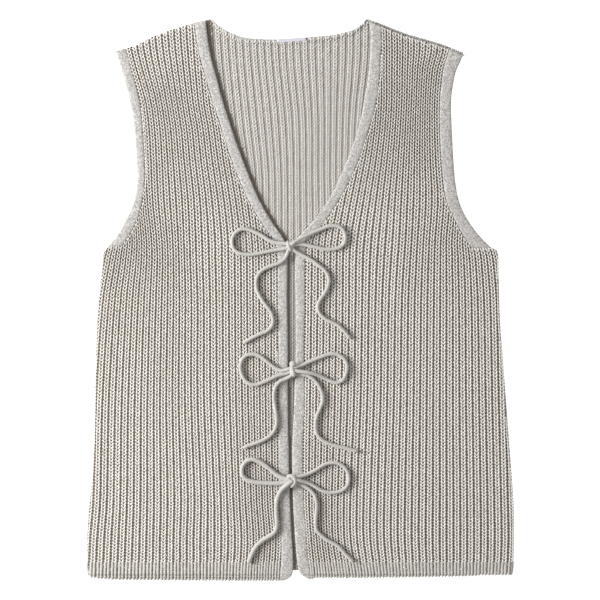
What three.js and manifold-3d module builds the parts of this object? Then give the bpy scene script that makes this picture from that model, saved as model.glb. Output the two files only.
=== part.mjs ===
// Knitted sweater vest with three tie bows, laid flat with its fronts up.
// Millimetres, +Z up from the surface it lies on, +Y towards the neck, +X to the viewer's right.
// The origin is at the middle of the vest's outline, on that surface.
import * as THREE from 'three';
import { mergeVertices } from 'three/addons/utils/BufferGeometryUtils.js';
import Module from 'manifold-3d';

const wasm = await Module();
wasm.setup();

// Gap kept at every seam and wherever one piece rests on another
const SEAM_GAP = 0.3;

// The back: plain outer face down, ribbed inner face up
const BACK_WALL = 1.9;
const BACK_RIB = 0.9;
const BACK_TOP = BACK_WALL + BACK_RIB;

// The fronts lie on the back, with their ribs up
const FRONT_REST = BACK_TOP + SEAM_GAP;
const FRONT_WALL = 2.1;
const FRONT_RIB = 1.0;
const FRONT_TOP = FRONT_REST + FRONT_WALL + FRONT_RIB;

// Fine plain bands
const BAND_THICKNESS = 2.9;
const BACK_BAND_THICKNESS = 2.8;
const NECK_BAND_WIDTH = 3.2;
const NECK_BAND_THICKNESS = 3.2;

// Round the sides the wall thins towards the fold
const SIDE_ROUND = 8;
const SIDE_DROP = 1.5;
const BACK_SIDE_RISE = 1.2;

// The fronts' hem hangs past the back's hem, and droops to the surface
const DROOP_START = -281.6;
const DROOP_END = -293;
const DROOP_REST = 0.3;

// On the right shoulder the seam has rolled forward, and a strip of the back shows past the front
const RIGHT_SHOULDER_ROLL = 3.4;

// Knitted cord ties
const CORD_DIAMETER = 3.7;
const CORD_SIDES = 8;
const CORD_STEP = 2 * CORD_DIAMETER;
const CORD_REST = FRONT_TOP + SEAM_GAP + CORD_DIAMETER / 2;

// Gives each row of a short table its column names
function table(columns, ...rows) {
  return rows.map((row) => Object.fromEntries(columns.map((name, i) => [name, row[i]])));
}

// Lines of the furrows between ribs, from the neck down. Rib 0 starts at the band's seam, and the
// columns give every seventh furrow on the way to the side.
const LEFT_FURROWS = table(['y', 'rib0', 'rib7', 'rib14', 'rib21', 'rib28'],
  [293, -51.6, -91.8, -137.2, -182, -222],
  [258, -49.6, -90.8, -134.6, -179.6, -217.8],
  [206.4, -45.4, -87.8, -127, -165.2, -205.4],
  [175.4, -43.4, -83, -122.2, -161, -201.2],
  [144.4, -39.2, -78.8, -119.4, -159.4, -199.2],
  [103.2, -31, -72.2, -115.4, -157.4, -198.6],
  [62, -25.8, -67.6, -113.6, -153.2, -198.2],
  [41.2, -23.8, -67.2, -113, -152.6, -197.2],
  [0, -23.2, -66.8, -111.8, -154.6, -197.6],
  [-103.2, -23.2, -65.8, -112, -157.2, -203.6],
  [-206.4, -22, -62.2, -108.6, -157.4, -206],
  [-247.6, -19, -60.2, -109.6, -158.2, -209],
  [-281.6, -20.4, -61.8, -109.4, -159, -210.4],
  [-293, -20.6, -62, -109.4, -159.4, -210.6]);
const LEFT_LAST_RIB = 31;

const RIGHT_FURROWS = table(['y', 'rib0', 'rib7', 'rib14', 'rib21', 'rib28'],
  [293, 32, 72.2, 111.4, 155, 197],
  [258, 33, 73.2, 112, 153.8, 195],
  [237.4, 35, 73.2, 111.2, 147.6, 187.8],
  [206.4, 37.2, 73.8, 110.4, 144.4, 182.6],
  [175.4, 35, 71.8, 108.8, 144.4, 182.6],
  [144.4, 26.8, 67, 107.2, 145.8, 185.8],
  [103.2, 14.4, 59.4, 104.8, 148.6, 188.8],
  [62, 7.2, 52.6, 102.6, 145.6, 187.8],
  [41.2, 6.2, 51.4, 101, 145.2, 188.4],
  [0, 5.6, 51, 98.8, 145, 190.2],
  [-103.2, 4.2, 49.4, 97.2, 144.6, 192],
  [-206.4, 3.6, 45.6, 94.4, 144.6, 193.8],
  [-247.6, 6.2, 46.2, 94.2, 144.4, 194.2],
  [-281.6, 9.6, 51.8, 97.2, 145.2, 193.4],
  [-293, 10.4, 53.2, 98, 145.6, 193.2]);
const RIGHT_LAST_RIB = 33;

// The back's furrows, every tenth, from the viewer's left to right
const BACK_FURROWS = table(['y', 'rib0', 'rib10', 'rib20', 'rib30', 'rib40', 'rib50', 'rib60'],
  [293, -237.4, -160, -82.6, -7.2, 71.8, 149.6, 227],
  [247.6, -232.2, -156.8, -79.8, -5.8, 70.6, 144.4, 218.8],
  [185.8, -214.6, -144.4, -73.2, -0.6, 64, 131, 198.2],
  [123.8, -201.2, -134.2, -65, 0.4, 63, 129, 196],
  [41.2, -200.2, -134.2, -66, 1, 68.2, 135.2, 202.2],
  [-103.2, -206.4, -137.2, -68.2, 1, 70.2, 139.4, 208.4],
  [-293, -215.6, -144.4, -73.2, -2, 69.2, 140.4, 211.6]);
const BACK_FIRST_RIB = -2;
const BACK_LAST_RIB = 62;
const FRONT_FIRST_RIB = -1;
const FRONT_RIBS_A_COLUMN = 7;
const BACK_RIBS_A_COLUMN = 10;

// The plain inside of a ribbed wall keeps one point in so many
const INSIDE_STEP = 12;

// One rib's section: where its outer points stand between two furrows, and how high
const RIB_SECTION = table(['at', 'rise'], [0, 0], [0.27, 1], [0.73, 1]);

// The band down each front, from the shoulder along the V-neck and the opening to the hem:
// the seam to the ribs and the free edge
const LEFT_FRONT_BAND = table(['y', 'seam', 'free'],
  [294, -109.8, -98], [268.4, -106.8, -95], [250.8, -103.2, -91.8], [229.2, -97, -85.6],
  [207.4, -90.8, -79.4], [185.8, -83.6, -71.8], [160, -75.8, -62.4], [132, -65.6, -51],
  [104.2, -53.6, -38.8], [78.4, -38.8, -23.8], [62, -26.8, -14.4], [47.4, -23.4, -13.2],
  [0, -23, -13.2], [-51.6, -22.2, -12.4], [-103.2, -22.4, -12.4], [-154.8, -22.2, -11.6],
  [-206.4, -21.6, -10.4], [-242.6, -19.6, -8.6], [-266.2, -19.2, -7], [-281.6, -20.4, -7.6],
  [-286.6, -20.6, -10], [-290, -21, -16]);
const RIGHT_FRONT_BAND = table(['y', 'seam', 'free'],
  [294, 82.6, 71.4], [268.4, 84.6, 73.2], [249.8, 83, 72.6], [229.2, 82.2, 70.6],
  [207.4, 79.4, 66.4], [185.8, 74, 62.6], [161, 66.2, 55], [132, 55.4, 43.6],
  [103.2, 40.2, 29.4], [78.4, 23.8, 10.8], [62, 8.8, -3], [47.4, 5.6, -4.8],
  [0, 5.2, -4.6], [-51.6, 4.2, -4.4], [-103.2, 5.2, -5.8], [-154.8, 3, -8],
  [-206.4, 4.2, -7.2], [-242.6, 6.8, -5.2], [-263.2, 8.2, -3.6], [-276, 10.2, -2.2],
  [-281.6, 10.8, -0.6], [-286.4, 11.6, 4], [-288.2, 12, 8.2]);

// The band round each armhole, from the shoulder to the underarm
const LEFT_ARMHOLE = table(['y', 'seam', 'free'],
  [264, -181, -193], [247.6, -176.4, -187.8], [227, -171, -181.6], [206.4, -165.8, -176.4],
  [185.8, -163.4, -172.4], [144.4, -160.6, -169.2], [126, -160.2, -168.2], [103.2, -162.8, -171.4],
  [92.8, -164.8, -175.4], [82.6, -168.2, -180.6], [72.2, -173.2, -185.8], [64, -178.6, -191.2],
  [55.8, -183.2, -197.8]);
const RIGHT_ARMHOLE = table(['y', 'seam', 'free'],
  [264, 156, 171.4], [247.6, 150.6, 166.2], [237.4, 147.8, 161.6], [227, 146.6, 159],
  [206.4, 144.4, 156.2], [165.2, 144.6, 157.4], [123.8, 147.8, 160.2], [103.2, 151, 164],
  [92.8, 154.8, 167.8], [82.6, 160, 173.4], [72.2, 165.6, 180.6], [62, 171.6, 189.2],
  [53.6, 177, 198.2]);

// The folded sides, from the underarm to the rounded corners of the hem
const SIDES = table(['y', 'left', 'right'],
  [55.4, -199, 197.6], [52.6, -201.8, 201.8], [47.4, -203.6, 204.4], [36.2, -205, 204.8],
  [10.4, -207.4, 205.4], [-20.6, -210, 206.4], [-62, -211.6, 209.4], [-103.2, -212.6, 212.6],
  [-144.4, -213.6, 215.6], [-185.8, -215.6, 218.8], [-216.8, -218.8, 220.6],
  [-247.6, -220.6, 220.8], [-273.4, -220.8, 220], [-280.8, -219.4, 219.2],
  [-285.4, -216.4, 216.8], [-288, -211.6, 212.6]);

// Top line of each shoulder, and the lower edges
const LEFT_SHOULDER = table(['x', 'y'],
  [-194, 256], [-185.8, 258], [-169.2, 263.2], [-152.8, 272], [-136.2, 278.2],
  [-119.8, 283.2], [-103.2, 288.4], [-92.8, 291]);
const RIGHT_SHOULDER = table(['x', 'y'],
  [69.2, 291], [78.4, 288], [95, 281.2], [111.4, 275], [128, 270.4], [144.4, 265.6],
  [161, 259.4], [171.4, 255]);
const BACK_NECK = table(['x', 'y'],
  [-90.8, 290.6], [-85.6, 284.4], [-77.4, 279.2], [-66, 274], [-51.6, 271], [-31, 270],
  [-12.4, 270.4], [4.2, 271.6], [20.6, 273.2], [35, 274.6], [45.4, 277], [53.6, 279.2],
  [62, 284.4], [68.6, 290.6]);
const FRONT_HEM = table(['x', 'y'],
  [-221, -287.6], [-185.8, -289.4], [-103.2, -290.2], [-20.6, -291], [12, -288.2], [62, -287.4],
  [144.4, -286.2], [221, -284]);
const BACK_HEM = table(['x', 'y'], [-219, -281], [0, -279.6], [219, -281]);

// The blank label at the back neck shows as a strip along the neck's edge
const LABEL_X = { from: -23.4, to: 6.4 };
const LABEL_STEPS = 4;
const LABEL_HEIGHT = 3.6;
const LABEL_THICKNESS = 0.6;

// The knots: middle, half sizes, and the short bar of cord between the two bands under each
const KNOTS = table(['name', 'x', 'y', 'halfX', 'halfY'],
  ['top', -10.6, 55.6, 4.4, 6.2],
  ['middle', -7.8, -71.2, 4.3, 7.2],
  ['low', -7.8, -185.4, 4.2, 6.2]);
const KNOT_HALF_HEIGHT = 4;
const KNOT_BOTTOM = FRONT_REST + BAND_THICKNESS + SEAM_GAP;

// Routes of the ties, chosen by hand: x, y, and the lift over a cord that lies on the ribs.
// Each starts inside its knot.
const TIE_ROUTES = {
  top_left_loop: [
    [-11.4, 56.8, 1.6], [-15.6, 58.2, 1.2], [-21.5, 58.5, 0.4], [-30.5, 61, 0], [-40, 67, 0],
    [-47.5, 70.5, 0], [-55.2, 73, 0], [-61.4, 72.6, 0], [-66.8, 69.2, 0], [-69.8, 63.4, 0],
    [-69.9, 57.6, 0], [-68.1, 52.4, 0], [-63.8, 49, 0], [-57.8, 47.3, 0], [-49.8, 47, 0],
    [-40, 48.5, 0], [-30.5, 50.5, 0], [-22.5, 51.9, 0.3], [-16, 53, 1], [-11.6, 54.2, 1.6]],
  top_left_tail: [
    [-11.2, 54.2, 1.6], [-12.4, 50.2, 0.9], [-13.4, 46.8, 0.2], [-16, 42.3, 0], [-21, 38.4, 0],
    [-27, 36, 0], [-33.4, 33.8, 0], [-39, 30.7, 0], [-42.8, 26.6, 0], [-45, 21.6, 0],
    [-45.4, 16, 0], [-44.5, 10.4, 0], [-42, 4.8, 0], [-38.5, -1, 0], [-34.4, -6.6, 0],
    [-30.6, -12, 0], [-28.4, -17.4, 0], [-28, -23, 0], [-30, -28.2, 0], [-34.5, -32.3, 0],
    [-41, -35, 0], [-47.5, -38, 0], [-53, -41.2, 0], [-58.6, -44.4, 0]],
  top_right_loop: [
    [-8.6, 57, 3.4], [-4.4, 60.4, 3.6], [2, 63.8, 2.6], [9.5, 67.5, 0.9], [16, 70.6, 0.2],
    [23, 73.5, 0], [29, 75.9, 0], [34.2, 76.6, 0], [39, 76, 0], [43, 73.6, 0], [45.8, 69.4, 0],
    [46.8, 63.6, 0], [45.4, 58.2, 0], [41.6, 54.5, 0], [35.8, 52.7, 0], [29.4, 52.2, 0],
    [22, 53, 0], [13, 55.2, 0], [3.8, 57, 0], [-3, 57.2, 0.4], [-8, 56.4, 1.4]],
  top_right_tail: [
    [-8.4, 53.8, 1.4], [-5.4, 51, 0.6], [-2.6, 49, 0], [2.8, 46, 0], [8.5, 43.2, 0],
    [14, 39.8, 0], [19.7, 35.3, 0], [24.2, 31.6, 0], [27.7, 27.4, 0], [29.6, 22.4, 0],
    [29.5, 17, 0], [27.6, 11.4, 0], [24.6, 6, 0], [21.2, 1.2, 0], [18.9, -3.5, 0],
    [18.2, -8.5, 0], [19.8, -13.2, 0], [23.2, -17.2, 0], [27.6, -20.5, 0], [33.2, -23.2, 0],
    [38.6, -26, 0], [43.2, -29.8, 0], [47.4, -34.4, 0], [51.5, -39.7, 0]],
  middle_left_loop: [
    [-9.2, -70.2, 2.4], [-13, -71.4, 2.2], [-18.6, -72.6, 1.4], [-24.4, -70.6, 0.5],
    [-29.6, -67, 0.1], [-34.4, -63.2, 0], [-39, -59.2, 0], [-44.6, -56.5, 0], [-50, -55.9, 0],
    [-55.6, -57.4, 0], [-59.8, -61.5, 0], [-61.6, -68, 0], [-60.6, -75.4, 0], [-57.4, -81.8, 0],
    [-52.4, -85.9, 0], [-46.4, -87.2, 0], [-40, -85.6, 0], [-33.5, -82.9, 0], [-27, -79.6, 0],
    [-20.4, -77, 0], [-14, -75.6, 0.3], [-9.4, -74, 1.4]],
  middle_left_tail: [
    [-8.4, -77, 1.6], [-12.2, -79.8, 0.8], [-16.4, -81.8, 0.2], [-21.4, -84.4, 0], [-25, -89, 0],
    [-26.8, -95, 0], [-27, -102, 0], [-26, -108.6, 0], [-24.9, -115.4, 0], [-24.3, -122, 0],
    [-24.5, -128.5, 0], [-26.4, -134.2, 0], [-30.1, -139, 0], [-35.6, -143, 0],
    [-41.6, -145.9, 0], [-48, -148.4, 0], [-53.6, -150.2, 0], [-58.8, -152.4, 0]],
  middle_right_loop: [
    [-6.6, -70.6, 2.6], [-3.4, -69, 2.4], [2, -67.2, 1.2], [8, -64.4, 0.3], [15, -61.4, 0],
    [22.2, -58.4, 0], [29, -56, 0], [35.2, -55.5, 0], [41, -57.2, 0], [45.6, -60.9, 0],
    [48.1, -66.2, 0], [48.2, -72.2, 0], [46.6, -78, 0], [43.7, -82.8, 0], [39, -85.1, 0],
    [33, -84.2, 0], [27, -81.5, 0], [21.2, -78.6, 0.8], [14.9, -76, 2.6], [8.2, -74.4, 4.1],
    [1.8, -73.6, 4.4], [-3, -73, 4.2], [-6.4, -72.6, 3.4]],
  middle_right_tail: [
    [-6.4, -75.8, 0.8], [-2.6, -76.2, 0.1], [3.4, -76.8, 0], [9, -78.4, 0], [14, -81.9, 0],
    [17.6, -86, 0], [20.8, -91.1, 0], [22.7, -96.6, 0], [23.3, -102.6, 0], [22, -108.2, 0],
    [19.7, -113.6, 0], [17.4, -119, 0], [16, -124.6, 0], [15.7, -130.2, 0], [16.4, -135.2, 0],
    [19, -140.6, 0], [23.2, -144.6, 0], [28.8, -147.6, 0], [35.2, -149.9, 0],
    [41.6, -151.4, 0], [48.1, -152.9, 0], [54.6, -154.8, 0], [60.2, -156, 0]],
  low_left_loop: [
    [-9.4, -184.8, 2], [-14, -184.2, 1.6], [-19.8, -182.4, 0.8], [-25.5, -179, 0.1],
    [-32, -173.4, 0], [-39.2, -168, 0], [-43.2, -165.9, 0], [-48.6, -164.3, 0],
    [-54.2, -165.4, 0], [-58.3, -169.4, 0], [-60, -175, 0], [-59.3, -180.5, 0],
    [-55.6, -184.6, 0], [-50, -186.9, 0], [-43, -188.2, 0], [-35.6, -188.6, 0],
    [-28.2, -188.9, 0], [-21.6, -188.8, 0], [-15, -187.8, 0.3], [-9.8, -186.6, 1.2]],
  low_left_tail: [
    [-8.6, -186.4, 4.8], [-12, -188.6, 5], [-15.4, -191.2, 4], [-18.8, -194.8, 1.6],
    [-21.5, -199.2, 0.2], [-23.6, -205, 0], [-24.5, -211.5, 0], [-24.6, -218, 0],
    [-24.2, -224.5, 0], [-23.9, -231, 0], [-24.8, -236.4, 0], [-28, -241, 0], [-33, -244.2, 0],
    [-38, -247.2, 0], [-42.7, -251, 0], [-46.5, -255.6, 0], [-49.2, -260.6, 0],
    [-51.6, -266.2, 0], [-53.6, -271, 0]],
  low_right_loop: [
    [-6.2, -183.6, 2.8], [-2.6, -182.2, 2.4], [2.4, -181, 1.2], [9, -178.8, 0.2],
    [15.5, -175.5, 0], [21, -171.8, 0], [26.5, -168.9, 0], [32, -167.8, 0], [37.6, -167.9, 0],
    [43, -170.1, 0], [47.3, -174.4, 0], [49.8, -180, 0], [50.2, -185.4, 0], [48.6, -191, 0],
    [44.9, -195.2, 0], [39.8, -197.5, 0], [33.6, -198.4, 0], [27.6, -198, 0],
    [22, -196.2, 0], [16.4, -192.8, 0], [10.5, -189.4, 0.3], [4.2, -187, 1.9],
    [-1.4, -185.4, 3.7], [-5.8, -184.8, 4.2]],
  low_right_tail: [
    [-5.8, -187.2, 0.6], [-2.2, -188.4, 0], [2, -190.6, 0], [6.6, -192.9, 0],
    [11, -196.4, 0], [14.8, -200.8, 0], [16.6, -206.6, 0], [17.1, -213, 0], [16.7, -219.4, 0],
    [16.2, -226, 0], [16, -232.4, 0], [17.4, -237.8, 0], [21.6, -242.3, 0], [26.8, -246.5, 0],
    [32.6, -249.8, 0], [38.4, -253, 0], [42.6, -257.2, 0], [46.7, -261.8, 0],
    [50.8, -266, 0], [55, -269.2, 0]],
};

// Value of a curve through points [t, value] at any t, straight past its ends
function curveThrough(points, t) {
  const last = points.length - 1;
  const slope = (i) => {
    const a = points[Math.max(i - 1, 0)];
    const b = points[Math.min(i + 1, last)];
    return (b[1] - a[1]) / (b[0] - a[0]);
  };
  if (t <= points[0][0]) return points[0][1] + slope(0) * (t - points[0][0]);
  if (t >= points[last][0]) return points[last][1] + slope(last) * (t - points[last][0]);
  const i = points.findIndex((point, n) => n < last && t <= points[n + 1][0]);
  const [t0, v0] = points[i];
  const [t1, v1] = points[i + 1];
  const span = t1 - t0;
  const s = (t - t0) / span;
  const blend = s * s * (3 - 2 * s);
  const rise0 = s * (1 - s) * (1 - s) * span * slope(i);
  const rise1 = s * s * (s - 1) * span * slope(i + 1);
  return v0 + (v1 - v0) * blend + rise0 + rise1;
}

// Straight reading of a table that runs down in y
function readDown(rows, column, y) {
  const i = Math.min(Math.max(rows.findIndex((row) => row.y < y), 1), rows.length - 1);
  const below = y < rows[rows.length - 1].y ? rows.length - 1 : i;
  const a = rows[below - 1];
  const b = rows[below];
  return THREE.MathUtils.mapLinear(y, a.y, b.y, a[column], b[column]);
}

// Straight reading of an edge that runs across in x
function readAcross(edge, x) {
  const i = Math.max(edge.findIndex((point) => point.x >= x), 1);
  return THREE.MathUtils.mapLinear(x, edge[i - 1].x, edge[i].x, edge[i - 1].y, edge[i].y);
}

// Height at which the fronts and their bands rest on what is under them
function frontRest(y) {
  if (y >= DROOP_START) return FRONT_REST;
  return THREE.MathUtils.mapLinear(y, DROOP_START, DROOP_END, FRONT_REST, DROOP_REST);
}

// How far the side fold has turned at a point, from 0 on the flat to 1 at the edge
function foldTurn(x, y) {
  if (y > SIDES[0].y) return 0;
  const inset = Math.min(x - readDown(SIDES, 'left', y), readDown(SIDES, 'right', y) - x);
  const t = THREE.MathUtils.clamp(1 - inset / SIDE_ROUND, 0, 1);
  return 1 - Math.sqrt(1 - t * t);
}

// Closed body from points and triangles, turned so that its faces point out
function bodyFrom(points, triangles) {
  const geometry = new THREE.BufferGeometry();
  geometry.setAttribute('position', new THREE.Float32BufferAttribute(points.flat(), 3));
  let volume = 0;
  for (const [a, b, c] of triangles) {
    const [p, q, r] = [a, b, c].map((n) => new THREE.Vector3(...points[n]));
    volume += p.dot(q.cross(r));
  }
  const order = volume > 0 ? triangles : triangles.map(([a, b, c]) => [a, c, b]);
  geometry.setIndex(order.flat());
  return geometry;
}

function toManifold(geometry) {
  return new wasm.Manifold(new wasm.Mesh({
    numProp: 3,
    vertProperties: new Float32Array(geometry.attributes.position.array),
    triVerts: new Uint32Array(geometry.index.array),
  }));
}

function toGeometry(manifold) {
  const mesh = manifold.getMesh();
  const geometry = new THREE.BufferGeometry();
  geometry.setAttribute('position', new THREE.Float32BufferAttribute(mesh.vertProperties, 3));
  geometry.setIndex(new THREE.Uint32BufferAttribute(mesh.triVerts, 1));
  return geometry;
}

function welded(geometry) {
  geometry.deleteAttribute('normal');
  geometry.deleteAttribute('uv');
  return mergeVertices(geometry, 1e-4);
}

// Upright prism on an outline, from below the vest to above it
const TRIM_LOW = -10;
const TRIM_DEPTH = 30;

function outlinePrism(points) {
  const shape = new THREE.Shape(points.map(({ x, y }) => new THREE.Vector2(x, y)));
  const geometry = new THREE.ExtrudeGeometry(shape, { depth: TRIM_DEPTH, bevelEnabled: false });
  geometry.translate(0, 0, TRIM_LOW);
  return toManifold(welded(geometry));
}

// Triangles between two runs of points that go the same way, whatever their counts
function zip(runA, runB) {
  const triangles = [];
  let a = 0;
  let b = 0;
  while (a < runA.length - 1 || b < runB.length - 1) {
    const aheadA = (a + 1) / (runA.length - 1);
    const aheadB = (b + 1) / (runB.length - 1);
    if (b === runB.length - 1 || (a < runA.length - 1 && aheadA <= aheadB)) {
      triangles.push([runA[a], runA[a + 1], runB[b]]);
      a += 1;
    } else {
      triangles.push([runA[a], runB[b + 1], runB[b]]);
      b += 1;
    }
  }
  return triangles;
}

// A ribbed sheet of knitting: outer points raised along each rib, over a plain inner face.
// It is larger than its panel, which is cut from it.
function ribbedSheet({ furrows, ribStep, firstRib, lastRib, inner, outer }) {
  const columns = Object.keys(furrows[0]).filter((name) => name !== 'y');
  const furrowX = (row, rib) => curveThrough(columns.map((name, i) => [i * ribStep, row[name]]), rib);
  const across = [];
  for (let rib = firstRib; rib < lastRib; rib += 1) {
    for (const { at, rise } of RIB_SECTION) across.push({ rib: rib + at, rise });
  }
  across.push({ rib: lastRib, rise: 0 });
  const isKept = (column, i) => i % INSIDE_STEP === 0 || i === across.length - 1;
  const innerAcross = across.filter(isKept);
  const points = [];
  const addRun = (row, list, height) => list.map(({ rib, rise }) => {
    const x = furrowX(row, rib);
    return points.push([x, row.y, height(x, row.y, rise)]) - 1;
  });
  const outerRuns = furrows.map((row) => addRun(row, across, outer));
  const innerRuns = furrows.map((row) => addRun(row, innerAcross, inner));
  const triangles = [];
  for (let r = 0; r + 1 < furrows.length; r += 1) {
    triangles.push(...zip(outerRuns[r], outerRuns[r + 1]));
    triangles.push(...zip(innerRuns[r + 1], innerRuns[r]));
    const [o0, o1, i0, i1] = [outerRuns[r], outerRuns[r + 1], innerRuns[r], innerRuns[r + 1]];
    triangles.push([o0[0], o1[0], i1[0]], [o0[0], i1[0], i0[0]]);
    triangles.push([o1.at(-1), o0.at(-1), i0.at(-1)], [o1.at(-1), i0.at(-1), i1.at(-1)]);
  }
  triangles.push(...zip(innerRuns[0], outerRuns[0]));
  triangles.push(...zip(outerRuns.at(-1), innerRuns.at(-1)));
  return toManifold(bodyFrom(points, triangles));
}

// A knitted band: one section after another, each from the seam to the free edge.
// The section's top is slightly crowned, and its free edge is rounded.
const BAND_SECTION = table(['across', 'up'],
  [0, 0.04], [0.9, 0], [1, 0.24], [1, 0.62], [0.9, 0.92], [0.55, 1], [0.2, 0.98], [0, 0.84]);

function band(sections, thickness) {
  const points = [];
  const rings = sections.map(({ seam, free, rest }) => BAND_SECTION.map(({ across, up }) => {
    const x = THREE.MathUtils.lerp(seam.x, free.x, across);
    const y = THREE.MathUtils.lerp(seam.y, free.y, across);
    return points.push([x, y, rest + up * thickness]) - 1;
  }));
  const count = BAND_SECTION.length;
  const triangles = [];
  for (let s = 0; s + 1 < rings.length; s += 1) {
    for (let n = 0; n < count; n += 1) {
      const [a, b] = [rings[s][n], rings[s][(n + 1) % count]];
      const [c, d] = [rings[s + 1][n], rings[s + 1][(n + 1) % count]];
      triangles.push([a, b, d], [a, d, c]);
    }
  }
  const first = rings[0];
  const last = rings.at(-1);
  for (let n = 1; n + 1 < count; n += 1) {
    triangles.push([first[0], first[n + 1], first[n]], [last[0], last[n], last[n + 1]]);
  }
  return toManifold(bodyFrom(points, triangles));
}

function bandDown(rows, thickness, restAt) {
  const sections = rows.map(({ y, seam, free }) => (
    { seam: { x: seam, y }, free: { x: free, y }, rest: restAt(y) }));
  return band(sections, thickness);
}

// The line of a seam moved sideways by the seam's gap, measured square to it
function besideSeam(rows, towards) {
  return rows.map(({ y, seam }, i) => {
    const a = rows[Math.max(i - 1, 0)];
    const b = rows[Math.min(i + 1, rows.length - 1)];
    const slant = Math.hypot(1, (b.seam - a.seam) / (b.y - a.y));
    return { x: seam + towards * SEAM_GAP * slant, y };
  });
}

// Everything in front lies within the shoulders and the fronts' hem, which are carried on level
// past the vest's sides
const FAR = 260;
const rolledShoulder = RIGHT_SHOULDER.map(({ x, y }) => ({ x, y: y - RIGHT_SHOULDER_ROLL }));
const frontTrim = outlinePrism([
  { x: -FAR, y: LEFT_SHOULDER[0].y }, ...LEFT_SHOULDER,
  ...rolledShoulder, { x: FAR, y: rolledShoulder.at(-1).y },
  { x: FAR, y: FRONT_HEM.at(-1).y }, ...[...FRONT_HEM].reverse(), { x: -FAR, y: FRONT_HEM[0].y },
]);

// A front's outline: down the seam of its band to below the hem, then up the side and the armhole
const BELOW_HEM = -294;

function frontOutline(bandRows, armholeRows, side, towards) {
  const bandEdge = besideSeam(bandRows, towards);
  const armholeEdge = besideSeam(armholeRows, -towards);
  const sideEdge = SIDES.map((row) => ({ x: row[side], y: row.y }));
  sideEdge[0].y = armholeRows.at(-1).y - SEAM_GAP;
  const shelf = { x: armholeEdge.at(-1).x, y: sideEdge[0].y };
  const hemEnd = { x: sideEdge.at(-1).x, y: BELOW_HEM };
  return [...bandEdge, { x: bandEdge.at(-1).x, y: BELOW_HEM }, hemEnd,
    ...sideEdge.reverse(), shelf, ...armholeEdge.reverse()];
}

function frontPanel(furrows, lastRib, outline) {
  const sheet = ribbedSheet({
    furrows,
    ribStep: FRONT_RIBS_A_COLUMN,
    firstRib: FRONT_FIRST_RIB,
    lastRib,
    inner: (x, y) => frontRest(y),
    outer: (x, y, rise) => frontRest(y) + FRONT_WALL + rise * FRONT_RIB - SIDE_DROP * foldTurn(x, y),
  });
  return sheet.intersect(outlinePrism(outline)).intersect(frontTrim);
}

// The back's outline: both armholes, the shoulders, the neck's edge under its band, and the hem
function backOutline() {
  const leftArmhole = besideSeam(LEFT_ARMHOLE, 1).slice(1);
  const rightArmhole = besideSeam(RIGHT_ARMHOLE, -1).slice(1);
  const leftSide = SIDES.map(({ y, left }) => ({ x: left, y }));
  const rightSide = SIDES.map(({ y, right }) => ({ x: right, y }));
  leftSide[0].y = LEFT_ARMHOLE.at(-1).y - SEAM_GAP;
  rightSide[0].y = RIGHT_ARMHOLE.at(-1).y - SEAM_GAP;
  const aboveHem = (point) => point.y > BACK_HEM[0].y;
  const neckEdge = BACK_NECK.map(({ x, y }) => ({ x, y: y - NECK_BAND_WIDTH - SEAM_GAP }));
  const shoulderFrom = leftArmhole[0].x;
  const shoulderTo = rightArmhole[0].x;
  return [
    ...leftSide.filter(aboveHem).reverse(),
    { x: leftArmhole.at(-1).x, y: leftSide[0].y },
    ...leftArmhole.reverse(),
    { x: shoulderFrom, y: readAcross(LEFT_SHOULDER, shoulderFrom) },
    ...LEFT_SHOULDER.filter(({ x }) => x > shoulderFrom && x < neckEdge[0].x),
    ...neckEdge,
    ...RIGHT_SHOULDER.filter(({ x }) => x > neckEdge.at(-1).x && x < shoulderTo),
    { x: shoulderTo, y: readAcross(RIGHT_SHOULDER, shoulderTo) },
    ...rightArmhole,
    { x: rightArmhole.at(-1).x, y: rightSide[0].y },
    ...rightSide.filter(aboveHem),
    ...[...BACK_HEM].reverse(),
  ];
}

function backPanel() {
  const sheet = ribbedSheet({
    furrows: BACK_FURROWS,
    ribStep: BACK_RIBS_A_COLUMN,
    firstRib: BACK_FIRST_RIB,
    lastRib: BACK_LAST_RIB,
    inner: (x, y) => BACK_SIDE_RISE * foldTurn(x, y),
    outer: (x, y, rise) => BACK_WALL + rise * BACK_RIB,
  });
  return sheet.intersect(outlinePrism(backOutline()));
}

// The back's bands end at the whole outline's shoulders
const backTrim = outlinePrism([
  { x: -FAR, y: LEFT_SHOULDER[0].y }, ...LEFT_SHOULDER,
  ...RIGHT_SHOULDER, { x: FAR, y: RIGHT_SHOULDER.at(-1).y },
  { x: FAR, y: BACK_HEM[0].y }, { x: -FAR, y: BACK_HEM[0].y },
]);

function neckBand() {
  const sections = BACK_NECK.map(({ x, y }) => (
    { seam: { x, y: y - NECK_BAND_WIDTH }, free: { x, y }, rest: 0 }));
  return band(sections, NECK_BAND_THICKNESS);
}

// The label lies along the neck's band, its points moved out from the band's
function neckLabel() {
  const neckLine = BACK_NECK.map(({ x, y }) => [x, y]);
  const under = NECK_BAND_THICKNESS + SEAM_GAP;
  const points = [];
  const triangles = [];
  for (let step = 0; step <= LABEL_STEPS; step += 1) {
    const x = THREE.MathUtils.lerp(LABEL_X.from, LABEL_X.to, step / LABEL_STEPS);
    const top = curveThrough(neckLine, x);
    const low = top - LABEL_HEIGHT;
    points.push([x, low, under], [x, top, under]);
    points.push([x, top, under + LABEL_THICKNESS], [x, low, under + LABEL_THICKNESS]);
    if (step === 0) continue;
    const here = 4 * step;
    for (let n = 0; n < 4; n += 1) {
      const [a, b] = [here - 4 + n, here - 4 + ((n + 1) % 4)];
      const [c, d] = [here + n, here + ((n + 1) % 4)];
      triangles.push([a, b, d], [a, d, c]);
    }
  }
  const end = 4 * LABEL_STEPS;
  triangles.push([0, 2, 1], [0, 3, 2], [end, end + 1, end + 2], [end, end + 2, end + 3]);
  return toManifold(bodyFrom(points, triangles));
}

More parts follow.
